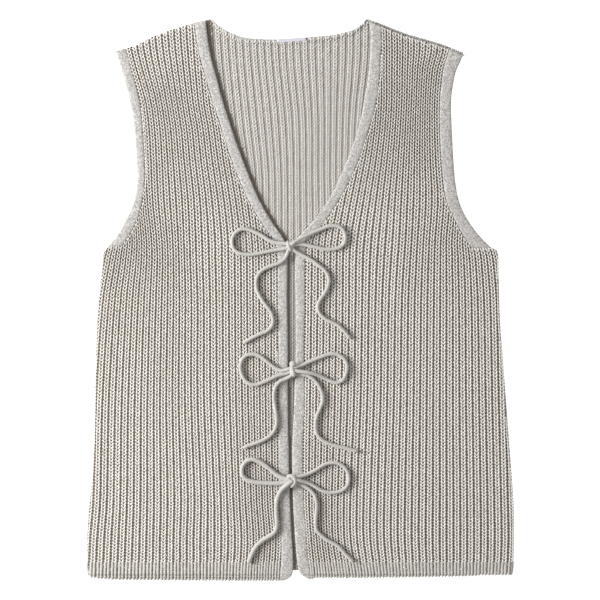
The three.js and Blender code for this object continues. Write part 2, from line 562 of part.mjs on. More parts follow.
// A knot: an egg of wrapped cord, and under it the cord's two ends pulled together between the bands
const EGG_ROUND = 12;
const EGG_UP = 8;

function knotBody({ x, y, halfX, halfY }, grow) {
  const egg = new THREE.SphereGeometry(1, EGG_ROUND, EGG_UP);
  egg.rotateX(Math.PI / 2);
  egg.scale(halfX + grow, halfY + grow, KNOT_HALF_HEIGHT + grow);
  egg.translate(x, y, KNOT_BOTTOM + KNOT_HALF_HEIGHT);
  const from = readDown(LEFT_FRONT_BAND, 'free', y) + SEAM_GAP;
  const to = readDown(RIGHT_FRONT_BAND, 'free', y) - SEAM_GAP;
  const low = BACK_TOP + SEAM_GAP;
  const high = KNOT_BOTTOM + KNOT_HALF_HEIGHT / 2;
  const ends = new THREE.BoxGeometry(to - from, CORD_DIAMETER, high - low);
  ends.translate((from + to) / 2, y, (low + high) / 2);
  return toManifold(welded(egg)).add(toManifold(welded(ends)));
}

// A cord along its route, cut back from its knot
function cord(route, knot) {
  const path = new THREE.CatmullRomCurve3(
    route.map(([x, y, lift]) => new THREE.Vector3(x, y, CORD_REST + lift)), false, 'centripetal');
  const section = new THREE.Shape();
  for (let n = 0; n < CORD_SIDES; n += 1) {
    const angle = (2 * Math.PI * (n + 0.5)) / CORD_SIDES;
    const [x, y] = [Math.cos(angle), Math.sin(angle)].map((part) => part * CORD_DIAMETER / 2);
    if (n === 0) section.moveTo(x, y);
    else section.lineTo(x, y);
  }
  const steps = Math.round(path.getLength() / CORD_STEP);
  const tube = new THREE.ExtrudeGeometry(section, { steps, extrudePath: path });
  return toManifold(welded(tube)).subtract(knotBody(knot, SEAM_GAP));
}

const ribKnit = new THREE.MeshStandardMaterial({ color: 0xb5b1ab, roughness: 0.95, metalness: 0 });
const fineKnit = new THREE.MeshStandardMaterial({ color: 0xcdcac5, roughness: 0.9, metalness: 0 });
const cordKnit = new THREE.MeshStandardMaterial({ color: 0xd0cdc8, roughness: 0.9, metalness: 0 });
const labelSatin = new THREE.MeshStandardMaterial({ color: 0xf2f1f6, roughness: 0.5, metalness: 0 });

const vest = new THREE.Group();

function addPiece(name, manifold, material) {
  const piece = new THREE.Mesh(toGeometry(manifold), material);
  piece.name = name;
  vest.add(piece);
}

addPiece('back', backPanel(), ribKnit);
addPiece('neck_band_back', neckBand(), fineKnit);
addPiece('neck_label', neckLabel(), labelSatin);

const leftOutline = frontOutline(LEFT_FRONT_BAND, LEFT_ARMHOLE, 'left', -1);
const rightOutline = frontOutline(RIGHT_FRONT_BAND, RIGHT_ARMHOLE, 'right', 1);
addPiece('front_left', frontPanel(LEFT_FURROWS, LEFT_LAST_RIB, leftOutline), ribKnit);
addPiece('front_right', frontPanel(RIGHT_FURROWS, RIGHT_LAST_RIB, rightOutline), ribKnit);

for (const [side, rows] of [['left', LEFT_FRONT_BAND], ['right', RIGHT_FRONT_BAND]]) {
  const strip = bandDown(rows, BAND_THICKNESS, frontRest).intersect(frontTrim);
  addPiece(`front_band_${side}`, strip, fineKnit);
}

for (const [side, rows] of [['left', LEFT_ARMHOLE], ['right', RIGHT_ARMHOLE]]) {
  const upper = bandDown(rows, BAND_THICKNESS, () => FRONT_REST).intersect(frontTrim);
  const lower = bandDown(rows, BACK_BAND_THICKNESS, () => 0).intersect(backTrim);
  addPiece(`armhole_band_${side}_front`, upper, fineKnit);
  addPiece(`armhole_band_${side}_back`, lower, fineKnit);
}

for (const knot of KNOTS) {
  addPiece(`tie_${knot.name}_knot`, knotBody(knot, 0), cordKnit);
  for (const part of ['left_loop', 'left_tail', 'right_loop', 'right_tail']) {
    const route = TIE_ROUTES[`${knot.name}_${part}`];
    addPiece(`tie_${knot.name}_${part}`, cord(route, knot), cordKnit);
  }
}

export default vest;
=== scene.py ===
import math

import bmesh
import bpy
import numpy as np
from mathutils import Matrix


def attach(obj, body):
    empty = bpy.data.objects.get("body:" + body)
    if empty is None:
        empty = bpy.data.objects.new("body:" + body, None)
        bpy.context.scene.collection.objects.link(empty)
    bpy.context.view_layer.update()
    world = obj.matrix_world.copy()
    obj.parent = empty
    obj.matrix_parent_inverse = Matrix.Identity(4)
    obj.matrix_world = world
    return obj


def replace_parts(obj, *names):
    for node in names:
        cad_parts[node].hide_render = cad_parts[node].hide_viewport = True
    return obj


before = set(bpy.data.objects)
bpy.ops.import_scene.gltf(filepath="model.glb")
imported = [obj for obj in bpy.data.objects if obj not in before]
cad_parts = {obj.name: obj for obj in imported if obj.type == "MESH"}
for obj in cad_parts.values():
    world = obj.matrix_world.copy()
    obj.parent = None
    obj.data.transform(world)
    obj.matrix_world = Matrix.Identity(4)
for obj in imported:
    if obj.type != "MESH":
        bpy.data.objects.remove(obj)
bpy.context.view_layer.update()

# The studio: the vest lies on a white sweep and is photographed from straight above, by one large
# soft box low at its left and by the light that the white room throws back.
MM = 0.001
FRAME_WIDTH = 619.2
LENS = 85.0
FILM = 36.0
VEST_DEPTH = 6.0
SOFT_BOX = {"place": (-1.6, 0.2, 0.95), "size": 0.75, "watts": 56}
ROOM_LIGHT = 0.47
SWEEP_HALF = 3.0
SWEEP_DROP = 0.2

camera = bpy.data.objects.new("camera", bpy.data.cameras.new("camera"))
camera.data.lens = LENS
camera.data.sensor_width = FILM
camera.location = (0, 0, (FRAME_WIDTH * LENS / FILM + VEST_DEPTH) * MM)
bpy.context.scene.collection.objects.link(camera)
bpy.context.scene.camera = camera
bpy.context.scene.view_settings.view_transform = "Standard"


def linear(colour):
    """An sRGB hex colour as linear red, green, blue and alpha."""
    shares = [int(colour[i:i + 2], 16) / 255 for i in (1, 3, 5)]
    return [s / 12.92 if s <= 0.04045 else ((s + 0.055) / 1.055) ** 2.4 for s in shares] + [1.0]


def add_node(material, kind, settings=None, inputs=None, links=None):
    """Adds a node to a material, with its settings, its constant inputs and its links."""
    node = material.node_tree.nodes.new(kind)
    for name, value in (settings or {}).items():
        setattr(node, name, value)
    for name, value in (inputs or {}).items():
        node.inputs[name].default_value = value
    for name, source in (links or {}).items():
        material.node_tree.links.new(source, node.inputs[name])
    return node


def new_material(name):
    """An empty material with its output node."""
    material = bpy.data.materials.new(name)
    material.use_nodes = True
    material.node_tree.nodes.clear()
    return material


soft_box = bpy.data.objects.new("soft_box", bpy.data.lights.new("soft_box", "AREA"))
soft_box.data.size = SOFT_BOX["size"]
soft_box.data.energy = SOFT_BOX["watts"]
soft_box.location = SOFT_BOX["place"]
soft_box.rotation_euler = soft_box.location.to_track_quat("Z", "Y").to_euler()
bpy.context.scene.collection.objects.link(soft_box)

room = bpy.data.worlds.new("white_room")
room.use_nodes = True
room.node_tree.nodes["Background"].inputs["Color"].default_value = linear("#FFFFFF")
room.node_tree.nodes["Background"].inputs["Strength"].default_value = ROOM_LIGHT
bpy.context.scene.world = room

# White paper sweep, lit so brightly that it burns out: a matt white with a glow of its own
paper = new_material("white_paper_sweep")
paper_shader = add_node(
    paper, "ShaderNodeBsdfPrincipled",
    inputs={
        "Base Color": linear("#FAFAFA"), "Roughness": 1.0,
        "Emission Color": linear("#FFFFFF"), "Emission Strength": 0.75})
add_node(paper, "ShaderNodeOutputMaterial", links={"Surface": paper_shader.outputs[0]})

sweep = bmesh.new()
bmesh.ops.create_grid(sweep, x_segments=1, y_segments=1, size=SWEEP_HALF)
bmesh.ops.translate(sweep, verts=sweep.verts, vec=(0, 0, -SWEEP_DROP * MM))
floor = bpy.data.objects.new("floor", bpy.data.meshes.new("floor"))
sweep.to_mesh(floor.data)
sweep.free()
floor.data.materials.append(paper)
bpy.context.scene.collection.objects.link(floor)

# The ties: six fine round knitted cords in the vest's own yarn. Each is sewn to the edge of the
# opening, and each pair is tied in a bow with two loops, whose free ends are left bare.
CORD = 3.7
FLATTENED_CORD = {"low_left": 4.5}
CORD_REST = 6.5
CORD_STATION = 1.6
CORD_SIDES = 14
# Shares of the radius at the two places next to each end, which is rounded off
ROUNDED = (0.55, 0.93)
# A cord swells by a small share of its radius, over and over along its length
CORD_SWELL = 0.012
SWELL_LENGTH = 5.0

# Where each pair leaves the edges of the opening, and how far the knot pulls each root to the
# middle and up
ROOTS = {
    "top": {"left": (-13.8, 55.6), "right": (-4.0, 55.6)},
    "middle": {"left": (-12.2, -71.2), "right": (-5.0, -71.2)},
    "low": {"left": (-11.0, -185.4), "right": (-7.6, -185.4)},
}
ROOT_HEIGHT = 4.6
ROOT_PULL = 0.6
ROOT_RISE = 3.2

# Routes: x, y, and the lift over a cord that lies on the ribs, where there is one
LOOPS = {
    "top_left": [
        (-11.4, 56.8, 1.6), (-15.6, 58.2, 1.2), (-21.5, 58.5, 0.4), (-30.5, 61), (-40, 67),
        (-47.5, 70.5), (-55.2, 73), (-61.4, 72.6), (-66.8, 69.2), (-69.8, 63.4), (-69.9, 57.6),
        (-68.1, 52.4), (-63.8, 49), (-57.8, 47.3), (-49.8, 47), (-40, 48.5), (-30.5, 50.5),
        (-22.5, 51.9, 0.3), (-16, 53, 1), (-11.6, 54.2, 1.6)],
    "top_right": [
        (-8.6, 57, 3.4), (-4.4, 60.4, 3.6), (2, 63.8, 2.6), (9.5, 67.5, 0.9), (16, 70.6, 0.2),
        (23, 73.5), (29, 75.9), (34.2, 76.6), (39, 76), (43, 73.6), (45.8, 69.4), (46.8, 63.6),
        (45.4, 58.2), (41.6, 54.5), (35.8, 52.7), (29.4, 52.2), (22, 53), (13, 55.2), (3.8, 57),
        (-3, 57.2, 0.4), (-8, 56.4, 1.4)],
    "middle_left": [
        (-9.2, -70.2, 2.4), (-13, -71.4, 2.2), (-18.6, -72.6, 1.4), (-24.4, -70.6, 0.5),
        (-29.6, -67, 0.1), (-34.4, -63.2), (-39, -59.2), (-44.6, -56.5), (-50, -55.9),
        (-55.6, -57.4), (-59.8, -61.5), (-61.6, -68), (-60.6, -75.4), (-57.4, -81.8),
        (-52.4, -85.9), (-46.4, -87.2), (-40, -85.6), (-33.5, -82.9), (-27, -79.6), (-20.4, -77),
        (-14, -75.6, 0.3), (-9.4, -74, 1.4)],
    "middle_right": [
        (-6.6, -70.6, 2.6), (-3.4, -69, 2.4), (2, -67.2, 1.2), (8, -64.4, 0.3), (15, -61.4),
        (22.2, -58.4), (29, -56), (35.2, -55.5), (41, -57.2), (45.6, -60.9), (48.1, -66.2),
        (48.2, -72.2), (46.6, -78), (43.7, -82.8), (39, -85.1), (33, -84.2), (27, -81.5),
        (21.2, -78.6, 0.8), (14.9, -76, 2.6), (8.2, -74.4, 4.1), (1.8, -73.6, 4.4), (-3, -73, 4.2),
        (-6.4, -72.6, 3.4)],
    "low_left": [
        (-9.4, -184.8, 2), (-14, -184.2, 1.6), (-19.8, -182.4, 0.8), (-25.5, -179, 0.1),
        (-32, -173.4), (-39.2, -168), (-43.2, -165.9), (-48.6, -164.3), (-54.2, -165.4),
        (-58.3, -169.4), (-60, -175), (-59.3, -180.5), (-55.6, -184.6), (-50, -186.9),
        (-43, -188.2), (-35.6, -188.6), (-28.2, -188.9), (-21.6, -188.8), (-15, -187.8, 0.3),
        (-9.8, -186.6, 1.2)],
    "low_right": [
        (-6.2, -183.6, 2.8), (-2.6, -182.2, 2.4), (2.4, -181, 1.2), (9, -178.8, 0.2),
        (15.5, -175.5), (21, -171.8), (26.5, -168.9), (32, -167.8), (37.6, -167.9), (43, -170.1),
        (47.3, -174.4), (49.8, -180), (50.2, -185.4), (48.6, -191), (44.9, -195.2), (39.8, -197.5),
        (33.6, -198.4), (27.6, -198), (22, -196.2), (16.4, -192.8), (10.5, -189.4, 0.3),
        (4.2, -187, 1.9), (-1.4, -185.4, 3.7), (-5.8, -184.8, 4.2)],
}
TAILS = {
    "top_left": [
        (-11.2, 54.2, 1.6), (-12.4, 50.2, 0.9), (-13.4, 46.8, 0.2), (-16, 42.3), (-21, 38.4),
        (-27, 36), (-33.4, 33.8), (-39, 30.7), (-42.8, 26.6), (-45, 21.6), (-45.4, 16),
        (-44.5, 10.4), (-42, 4.8), (-38.5, -1), (-34.4, -6.6), (-30.6, -12), (-28.4, -17.4),
        (-28, -23), (-30, -28.2), (-34.5, -32.3), (-41, -35), (-47.5, -38), (-53, -41.2),
        (-58.6, -44.4)],
    "top_right": [
        (-8.4, 53.8, 1.4), (-5.4, 51, 0.6), (-2.6, 49), (2.8, 46), (8.5, 43.2), (14, 39.8),
        (19.7, 35.3), (24.2, 31.6), (27.7, 27.4), (29.6, 22.4), (29.5, 17), (27.6, 11.4), (24.6, 6),
        (21.2, 1.2), (18.9, -3.5), (18.2, -8.5), (19.8, -13.2), (23.2, -17.2), (27.6, -20.5),
        (33.2, -23.2), (38.6, -26), (43.2, -29.8), (47.4, -34.4), (51.5, -39.7)],
    "middle_left": [
        (-8.4, -77, 1.6), (-12.2, -79.8, 0.8), (-16.4, -81.8, 0.2), (-21.4, -84.4), (-25, -89),
        (-26.8, -95), (-27, -102), (-26, -108.6), (-24.9, -115.4), (-24.3, -122), (-24.5, -128.5),
        (-26.4, -134.2), (-30.1, -139), (-35.6, -143), (-41.6, -145.9), (-48, -148.4),
        (-53.6, -150.2), (-58.8, -152.4)],
    "middle_right": [
        (-6.4, -75.8, 0.8), (-2.6, -76.2, 0.1), (3.4, -76.8), (9, -78.4), (14, -81.9), (17.6, -86),
        (20.8, -91.1), (22.7, -96.6), (23.3, -102.6), (22, -108.2), (19.7, -113.6), (17.4, -119),
        (16, -124.6), (15.7, -130.2), (16.4, -135.2), (19, -140.6), (23.2, -144.6), (28.8, -147.6),
        (35.2, -149.9), (41.6, -151.4), (48.1, -152.9), (54.6, -154.8), (60.2, -156)],
    "low_left": [
        (-8.6, -186.4, 4.8), (-12, -188.6, 5), (-15.4, -191.2, 4), (-18.8, -194.8, 1.6),
        (-21.5, -199.2, 0.2), (-23.6, -205), (-24.5, -211.5), (-24.6, -218), (-24.2, -224.5),
        (-23.9, -231), (-24.8, -236.4), (-28, -241), (-33, -244.2), (-38, -247.2), (-42.7, -251),
        (-46.5, -255.6), (-49.2, -260.6), (-51.6, -266.2), (-53.6, -271)],
    "low_right": [
        (-5.8, -187.2, 0.6), (-2.2, -188.4), (2, -190.6), (6.6, -192.9), (11, -196.4),
        (14.8, -200.8), (16.6, -206.6), (17.1, -213), (16.7, -219.4), (16.2, -226), (16, -232.4),
        (17.4, -237.8), (21.6, -242.3), (26.8, -246.5), (32.6, -249.8), (38.4, -253),
        (42.6, -257.2), (46.7, -261.8), (50.8, -266), (55, -269.2)],
}


def brushed_yarn(name, dark, light, patches, broken=0.6, finish=None, nap=None):
    """Matt yarn that is a little lighter or darker from place to place, with so many patches to
    the metre. Its nap, where it shows, is fibres to the metre, a strength and a depth."""
    yarn = new_material(name)
    place = add_node(yarn, "ShaderNodeTexCoord")
    tone = add_node(
        yarn, "ShaderNodeTexNoise", inputs={"Scale": patches, "Detail": 3.0, "Roughness": broken},
        links={"Vector": place.outputs["Object"]})
    colour = add_node(
        yarn, "ShaderNodeMix", settings={"data_type": "RGBA"},
        inputs={"A": linear(dark), "B": linear(light)}, links={"Factor": tone.outputs[0]})
    shader = add_node(
        yarn, "ShaderNodeBsdfPrincipled", inputs={"Roughness": 0.95, **(finish or {})},
        links={"Base Color": colour.outputs["Result"]})
    if nap:
        fibres, strength, depth = nap
        fuzz = add_node(
            yarn, "ShaderNodeTexNoise", inputs={"Scale": fibres, "Detail": 2.0},
            links={"Vector": place.outputs["Object"]})
        bump = add_node(
            yarn, "ShaderNodeBump", inputs={"Strength": strength, "Distance": depth},
            links={"Height": fuzz.outputs[0]})
        yarn.node_tree.links.new(bump.outputs[0], shader.inputs["Normal"])
    add_node(yarn, "ShaderNodeOutputMaterial", links={"Surface": shader.outputs[0]})
    return yarn


# Soft brushed cotton and wool yarn, dyed a pale warm grey and knitted into a close round cord:
# matt and even, because no holes show through it. A stitch is 1.4 mm, so there are 700 to the
# metre. Its fibres are too fine to show, so the faint nap is drawn about 1 mm coarse.
cord_yarn = brushed_yarn(
    "brushed_yarn_knitted_cord", "#8D8983", "#D6D3CE", 700.0, broken=0.7,
    finish={"Roughness": 0.92, "Sheen Weight": 0.25, "Sheen Roughness": 0.6},
    nap=(1100.0, 0.35, 0.0004))


def read_curve(knots, values, at):
    """Values of a smooth curve through the knots at each place, and straight past its ends."""
    knots = np.asarray(knots, float)
    at = np.asarray(at, float)
    values = np.asarray(values, float)
    if values.ndim == 1:
        values = np.repeat(values[:, None], len(at), axis=1)
    order = np.arange(len(knots))
    before = np.clip(order - 1, 0, None)
    after = np.clip(order + 1, None, len(knots) - 1)
    slopes = (values[after] - values[before]) / (knots[after] - knots[before])[:, None]
    held = np.clip(at, knots[0], knots[-1])
    i = np.clip(np.searchsorted(knots, held) - 1, 0, len(knots) - 2)
    each = np.arange(len(at))
    span = knots[i + 1] - knots[i]
    s = (held - knots[i]) / span
    low = values[i, each]
    high = values[i + 1, each]
    curve = low + (high - low) * s * s * (3 - 2 * s)
    curve += s * (1 - s) ** 2 * span * slopes[i, each]
    curve += s * s * (s - 1) * span * slopes[i + 1, each]
    past = np.where(at > knots[-1], slopes[-1, each], slopes[0, each])
    return curve + (at - held) * past


def smooth_route(points, spacing):
    """Points of a smooth line through a route, a spacing apart, in millimetres."""
    points = np.asarray(points, float)
    run = np.concatenate([[0], np.cumsum(np.linalg.norm(np.diff(points, axis=0), axis=1))])
    at = np.linspace(0, run[-1], int(run[-1] / spacing) + 1)
    return np.stack([read_curve(run, points[:, i], at) for i in range(3)], axis=1)


def finished(name, shape):
    """The mesh of a closed shape, with its faces smooth and turned outwards."""
    bmesh.ops.recalc_face_normals(shape, faces=shape.faces)
    for face in shape.faces:
        face.smooth = True
    mesh = bpy.data.meshes.new(name)
    shape.to_mesh(mesh)
    shape.free()
    return mesh


def grid_steps(vert, across, along):
    """Which step of a grid a point of it stands at, in each direction."""
    return round((vert.co.x + 0.5) * across), round((vert.co.y + 0.5) * along)


def tube_mesh(name, route, radius, sides, swell=0.0, swell_length=1.0):
    """A closed tube with rounded ends, from one row of a grid round each point of its route."""
    tube = bmesh.new()
    last = len(route) - 1
    bmesh.ops.create_grid(tube, x_segments=sides, y_segments=last, size=0.5)
    along = np.gradient(route, axis=0)
    along /= np.linalg.norm(along, axis=1)[:, None]
    aside = np.cross(along, [0, 0, 1.0])
    aside /= np.maximum(np.linalg.norm(aside, axis=1), 1e-6)[:, None]
    above = np.cross(aside, along)
    run = np.concatenate([[0], np.cumsum(np.linalg.norm(np.diff(route, axis=0), axis=1))])
    around = tube.loops.layers.uv.new("UVMap")
    for face in tube.faces:
        for loop in face.loops:
            station = grid_steps(loop.vert, 1, last)[1]
            loop[around].uv = ((loop.vert.co.x + 0.5) * 2 * math.pi * radius, run[station])
    ends = {0: ROUNDED[0], 1: ROUNDED[1], last - 1: ROUNDED[1], last: ROUNDED[0]}
    for vert in tube.verts:
        station = grid_steps(vert, 1, last)[1]
        angle = 2 * math.pi * (vert.co.x + 0.5)
        wave = 1 + swell * math.sin(2 * math.pi * run[station] / swell_length)
        reach = radius * wave * ends.get(station, 1.0)
        across = math.cos(angle) * aside[station] + math.sin(angle) * above[station]
        vert.co = (route[station] + reach * across) * MM
    bmesh.ops.remove_doubles(tube, verts=tube.verts, dist=1e-7)
    rims = [edge for edge in tube.edges if edge.is_boundary]
    bmesh.ops.holes_fill(tube, edges=rims, sides=0)
    return finished(name, tube)


def show(name, mesh, material):
    """Puts a finished mesh in the scene as a piece of the vest."""
    piece = bpy.data.objects.new(name, mesh)
    piece.data.materials.append(material)
    bpy.context.scene.collection.objects.link(piece)
    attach(piece, "root")
    return piece


def tie(bow, side):
    """One whole cord: from its root at the opening's edge, round its loop and out along its tail."""
    root_x, root_y = ROOTS[bow][side]
    name = f"{bow}_{side}"
    size = FLATTENED_CORD.get(name, CORD)
    rest = [(x, y, CORD_REST + CORD / 2 + sum(lift)) for x, y, *lift in LOOPS[name] + TAILS[name]]
    middle_x = (ROOTS[bow]["left"][0] + ROOTS[bow]["right"][0]) / 2
    start = (root_x, root_y, ROOT_HEIGHT)
    pulled_x = middle_x * ROOT_PULL + root_x * (1 - ROOT_PULL)
    risen = (pulled_x, root_y, ROOT_HEIGHT + ROOT_RISE)
    route = smooth_route([start, risen] + rest, CORD_STATION)
    mesh = tube_mesh(
        f"tie_{name}", route, size / 2, CORD_SIDES, swell=CORD_SWELL, swell_length=SWELL_LENGTH)
    piece = show(f"tie_{name}", mesh, cord_yarn)
    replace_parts(piece, f"tie_{name}_loop", f"tie_{name}_tail")


for bow in ROOTS:
    for side in ("left", "right"):
        tie(bow, side)

# The knots: each is a turn of the same cord pulled tight over the crossing, so it is a small
# lump with one wrap over it. The middle one has a tighter, rounder bead above its wrap.
KNOT_CORES = {
    "top": {"centre": (-10.4, 55.6, 9.6), "half": (3.6, 5.0, 3.4)},
    "middle": {"centre": (-7.2, -72.8, 9.9), "half": (4.2, 5.4, 2.5)},
    "low": {"centre": (-8.6, -186.0, 9.8), "half": (3.9, 5.2, 2.7)},
}
KNOT_WRAPS = {
    "top": [
        (-12.2, 60.6, 8.4), (-12.6, 58.4, 10.6), (-11.6, 55.6, 12), (-10.2, 52.8, 11),
        (-10.0, 50.6, 8.8)],
    "middle": [
        (-9.0, -68.4, 9.2), (-8.4, -70.4, 11.6), (-7.2, -73, 12.6), (-6.4, -75.8, 11.8),
        (-6.2, -78.0, 9.6)],
    "low": [
        (-12.9, -182.4, 9.6), (-10.8, -181, 11.6), (-8.4, -180.8, 12.8), (-6.1, -182.5, 13.2),
        (-5.0, -185.4, 13.3), (-5.7, -188.4, 13), (-7.9, -190.7, 12), (-9.9, -191.8, 10.4)],
}
WRAP_RADIUS = {"top": 1.75, "middle": 2.4, "low": 1.95}
WRAP_STATION = 0.8
WRAP_SIDES = 12
MIDDLE_BEAD = {"centre": (-7.4, -65.8, 12.2), "half": (3.5, 3.4, 2.6)}


def add_egg(mesh, centre, half):
    """Adds a small rounded lump to a mesh that is being made."""
    made = bmesh.ops.create_uvsphere(mesh, u_segments=20, v_segments=12, radius=1)
    bmesh.ops.scale(mesh, verts=made["verts"], vec=[h * MM for h in half])
    bmesh.ops.translate(mesh, verts=made["verts"], vec=[c * MM for c in centre])


for bow, core in KNOT_CORES.items():
    turn = smooth_route(KNOT_WRAPS[bow], WRAP_STATION)
    wrap = tube_mesh(f"knot_{bow}", turn, WRAP_RADIUS[bow], WRAP_SIDES)
    knot = bmesh.new()
    knot.from_mesh(wrap)
    add_egg(knot, **core)
    if bow == "middle":
        add_egg(knot, **MIDDLE_BEAD)
    for face in knot.faces:
        face.smooth = True
    knot.to_mesh(wrap)
    knot.free()
    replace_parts(show(f"knot_{bow}", wrap, cord_yarn), f"tie_{bow}_knot")

# The back: half-cardigan rib, laid with its plain outer face down. Its inner face shows in the
# neck and in the opening, as plump ribs of slanting strands with a darker furrow between each two.
SIDE_FOLD = 8.0
SIDES = np.array([
    # y, and x of the left and the right side
    (55.4, -199, 197.6), (52.6, -201.8, 201.8), (47.4, -203.6, 204.4), (36.2, -205, 204.8),
    (10.4, -207.4, 205.4), (-20.6, -210, 206.4), (-62, -211.6, 209.4), (-103.2, -212.6, 212.6),
    (-144.4, -213.6, 215.6), (-185.8, -215.6, 218.8), (-216.8, -218.8, 220.6),
    (-247.6, -220.6, 220.8), (-273.4, -220.8, 220), (-280.8, -219.4, 219.2),
    (-285.4, -216.4, 216.8), (-288, -211.6, 212.6)])
LEFT_ARMHOLE = np.array([
    # y, and x of an armhole band's seam and of its free edge
    (264, -181, -193), (247.6, -176.4, -187.8), (227, -171, -181.6), (206.4, -165.8, -176.4),
    (185.8, -163.4, -172.4), (144.4, -160.6, -169.2), (126, -160.2, -168.2),
    (103.2, -162.8, -171.4), (92.8, -164.8, -175.4), (82.6, -168.2, -180.6),
    (72.2, -173.2, -185.8), (64, -178.6, -191.2), (55.8, -183.2, -197.8)])
RIGHT_ARMHOLE = np.array([
    (264, 156, 171.4), (247.6, 150.6, 166.2), (237.4, 147.8, 161.6), (227, 146.6, 159),
    (206.4, 144.4, 156.2), (165.2, 144.6, 157.4), (123.8, 147.8, 160.2), (103.2, 151, 164),
    (92.8, 154.8, 167.8), (82.6, 160, 173.4), (72.2, 165.6, 180.6), (62, 171.6, 189.2),
    (53.6, 177, 198.2)])
LEFT_SHOULDER = np.array([
    # x and y
    (-194, 256), (-185.8, 258), (-169.2, 263.2), (-152.8, 272), (-136.2, 278.2),
    (-119.8, 283.2), (-103.2, 288.4), (-92.8, 291)])
RIGHT_SHOULDER = np.array([
    (69.2, 291), (78.4, 288), (95, 281.2), (111.4, 275), (128, 270.4), (144.4, 265.6),
    (161, 259.4), (171.4, 255)])
BACK_NECK = np.array([
    (-90.8, 290.6), (-85.6, 284.4), (-77.4, 279.2), (-66, 274), (-51.6, 271), (-31, 270),
    (-12.4, 270.4), (4.2, 271.6), (20.6, 273.2), (35, 274.6), (45.4, 277), (53.6, 279.2),
    (62, 284.4), (68.6, 290.6)])
BACK_HEM = np.array([(-219, -281), (0, -279.6), (219, -281)])
BACK_FURROWS = np.array([
    # y, and x of every tenth furrow
    (293, -237.4, -160, -82.6, -7.2, 71.8, 149.6, 227),
    (247.6, -232.2, -156.8, -79.8, -5.8, 70.6, 144.4, 218.8),
    (185.8, -214.6, -144.4, -73.2, -0.6, 64, 131, 198.2),
    (123.8, -201.2, -134.2, -65, 0.4, 63, 129, 196),
    (41.2, -200.2, -134.2, -66, 1, 68.2, 135.2, 202.2),
    (-103.2, -206.4, -137.2, -68.2, 1, 70.2, 139.4, 208.4),
    (-293, -215.6, -144.4, -73.2, -2, 69.2, 140.4, 211.6)])
BACK_RIBS_BETWEEN = 10
NECK_BAND = 3.2
SEAM = 0.3
BACK_WALL = 1.7
# The walls of cloth end this far inside the stitches that turn over the sides and the hem
TURN_ROOM = 1.1
HEM_ROOM = 1.7
SIDE_RISE = 1.2
BACK_CELLS = 96
SHARP_EDGE = math.radians(40)
# Rows of the grids just under and over the lowest points of the armholes
ARMHOLE_ROWS = [53.25, 53.35, 55.45, 55.55, 60, 64]


def down(table, column, y):
    """A column of a table that runs down the vest, read smoothly at each y."""
    rows = table[::-1]
    return read_curve(rows[:, 0], rows[:, column], y)


def edge_y(line, x):
    """Height on the vest of a top or bottom edge at each x."""
    return np.interp(x, line[:, 0], line[:, 1])


def side_fold(x, y):
    """How far the side's fold has turned, from 0 on the flat to 1 at its edge."""
    inset = np.minimum(x - down(SIDES, 1, y), down(SIDES, 2, y) - x)
    turn = np.clip(1 - inset / SIDE_FOLD, 0, 1)
    return np.where(y > SIDES[0, 0], 0, 1 - np.sqrt(1 - turn ** 2))


def furrow_x(table, between, rib, y):
    """x of a furrow, or of a line between two, at each y."""
    columns = np.stack([down(table, i, y) for i in range(1, table.shape[1])])
    return read_curve(np.arange(len(columns)) * between, columns, rib)


def panel_mesh(name, rows, inner, outer, top, bottom, cells, under, over):
    """A closed wall of cloth from a grid between two side lines, a top line and a hem."""
    panel = bmesh.new()
    bmesh.ops.create_grid(panel, x_segments=cells, y_segments=len(rows) - 1, size=0.5)
    made = bmesh.ops.extrude_face_region(panel, geom=panel.faces[:], use_keep_orig=True)
    bmesh.ops.translate(
        panel, verts=[item for item in made["geom"] if isinstance(item, bmesh.types.BMVert)],
        vec=(0, 0, 1))
    grid = np.array([vert.co for vert in panel.verts])
    y = np.array(rows)[np.rint((grid[:, 1] + 0.5) * (len(rows) - 1)).astype(int)]
    for _ in range(3):
        x = inner(y) + (outer(y) - inner(y)) * (grid[:, 0] + 0.5)
        y = np.clip(y, bottom(x), top(x))
    z = np.where(grid[:, 2] > 0.5, over(x, y), under(x, y))
    for vert, place in zip(panel.verts, zip(x, y, z)):
        vert.co = place
    bmesh.ops.scale(panel, verts=panel.verts, vec=(MM, MM, MM))
    bmesh.ops.remove_doubles(panel, verts=panel.verts, dist=0.05 * MM)
    mesh = finished(name, panel)
    mesh.set_sharp_from_angle(angle=SHARP_EDGE)
    return mesh


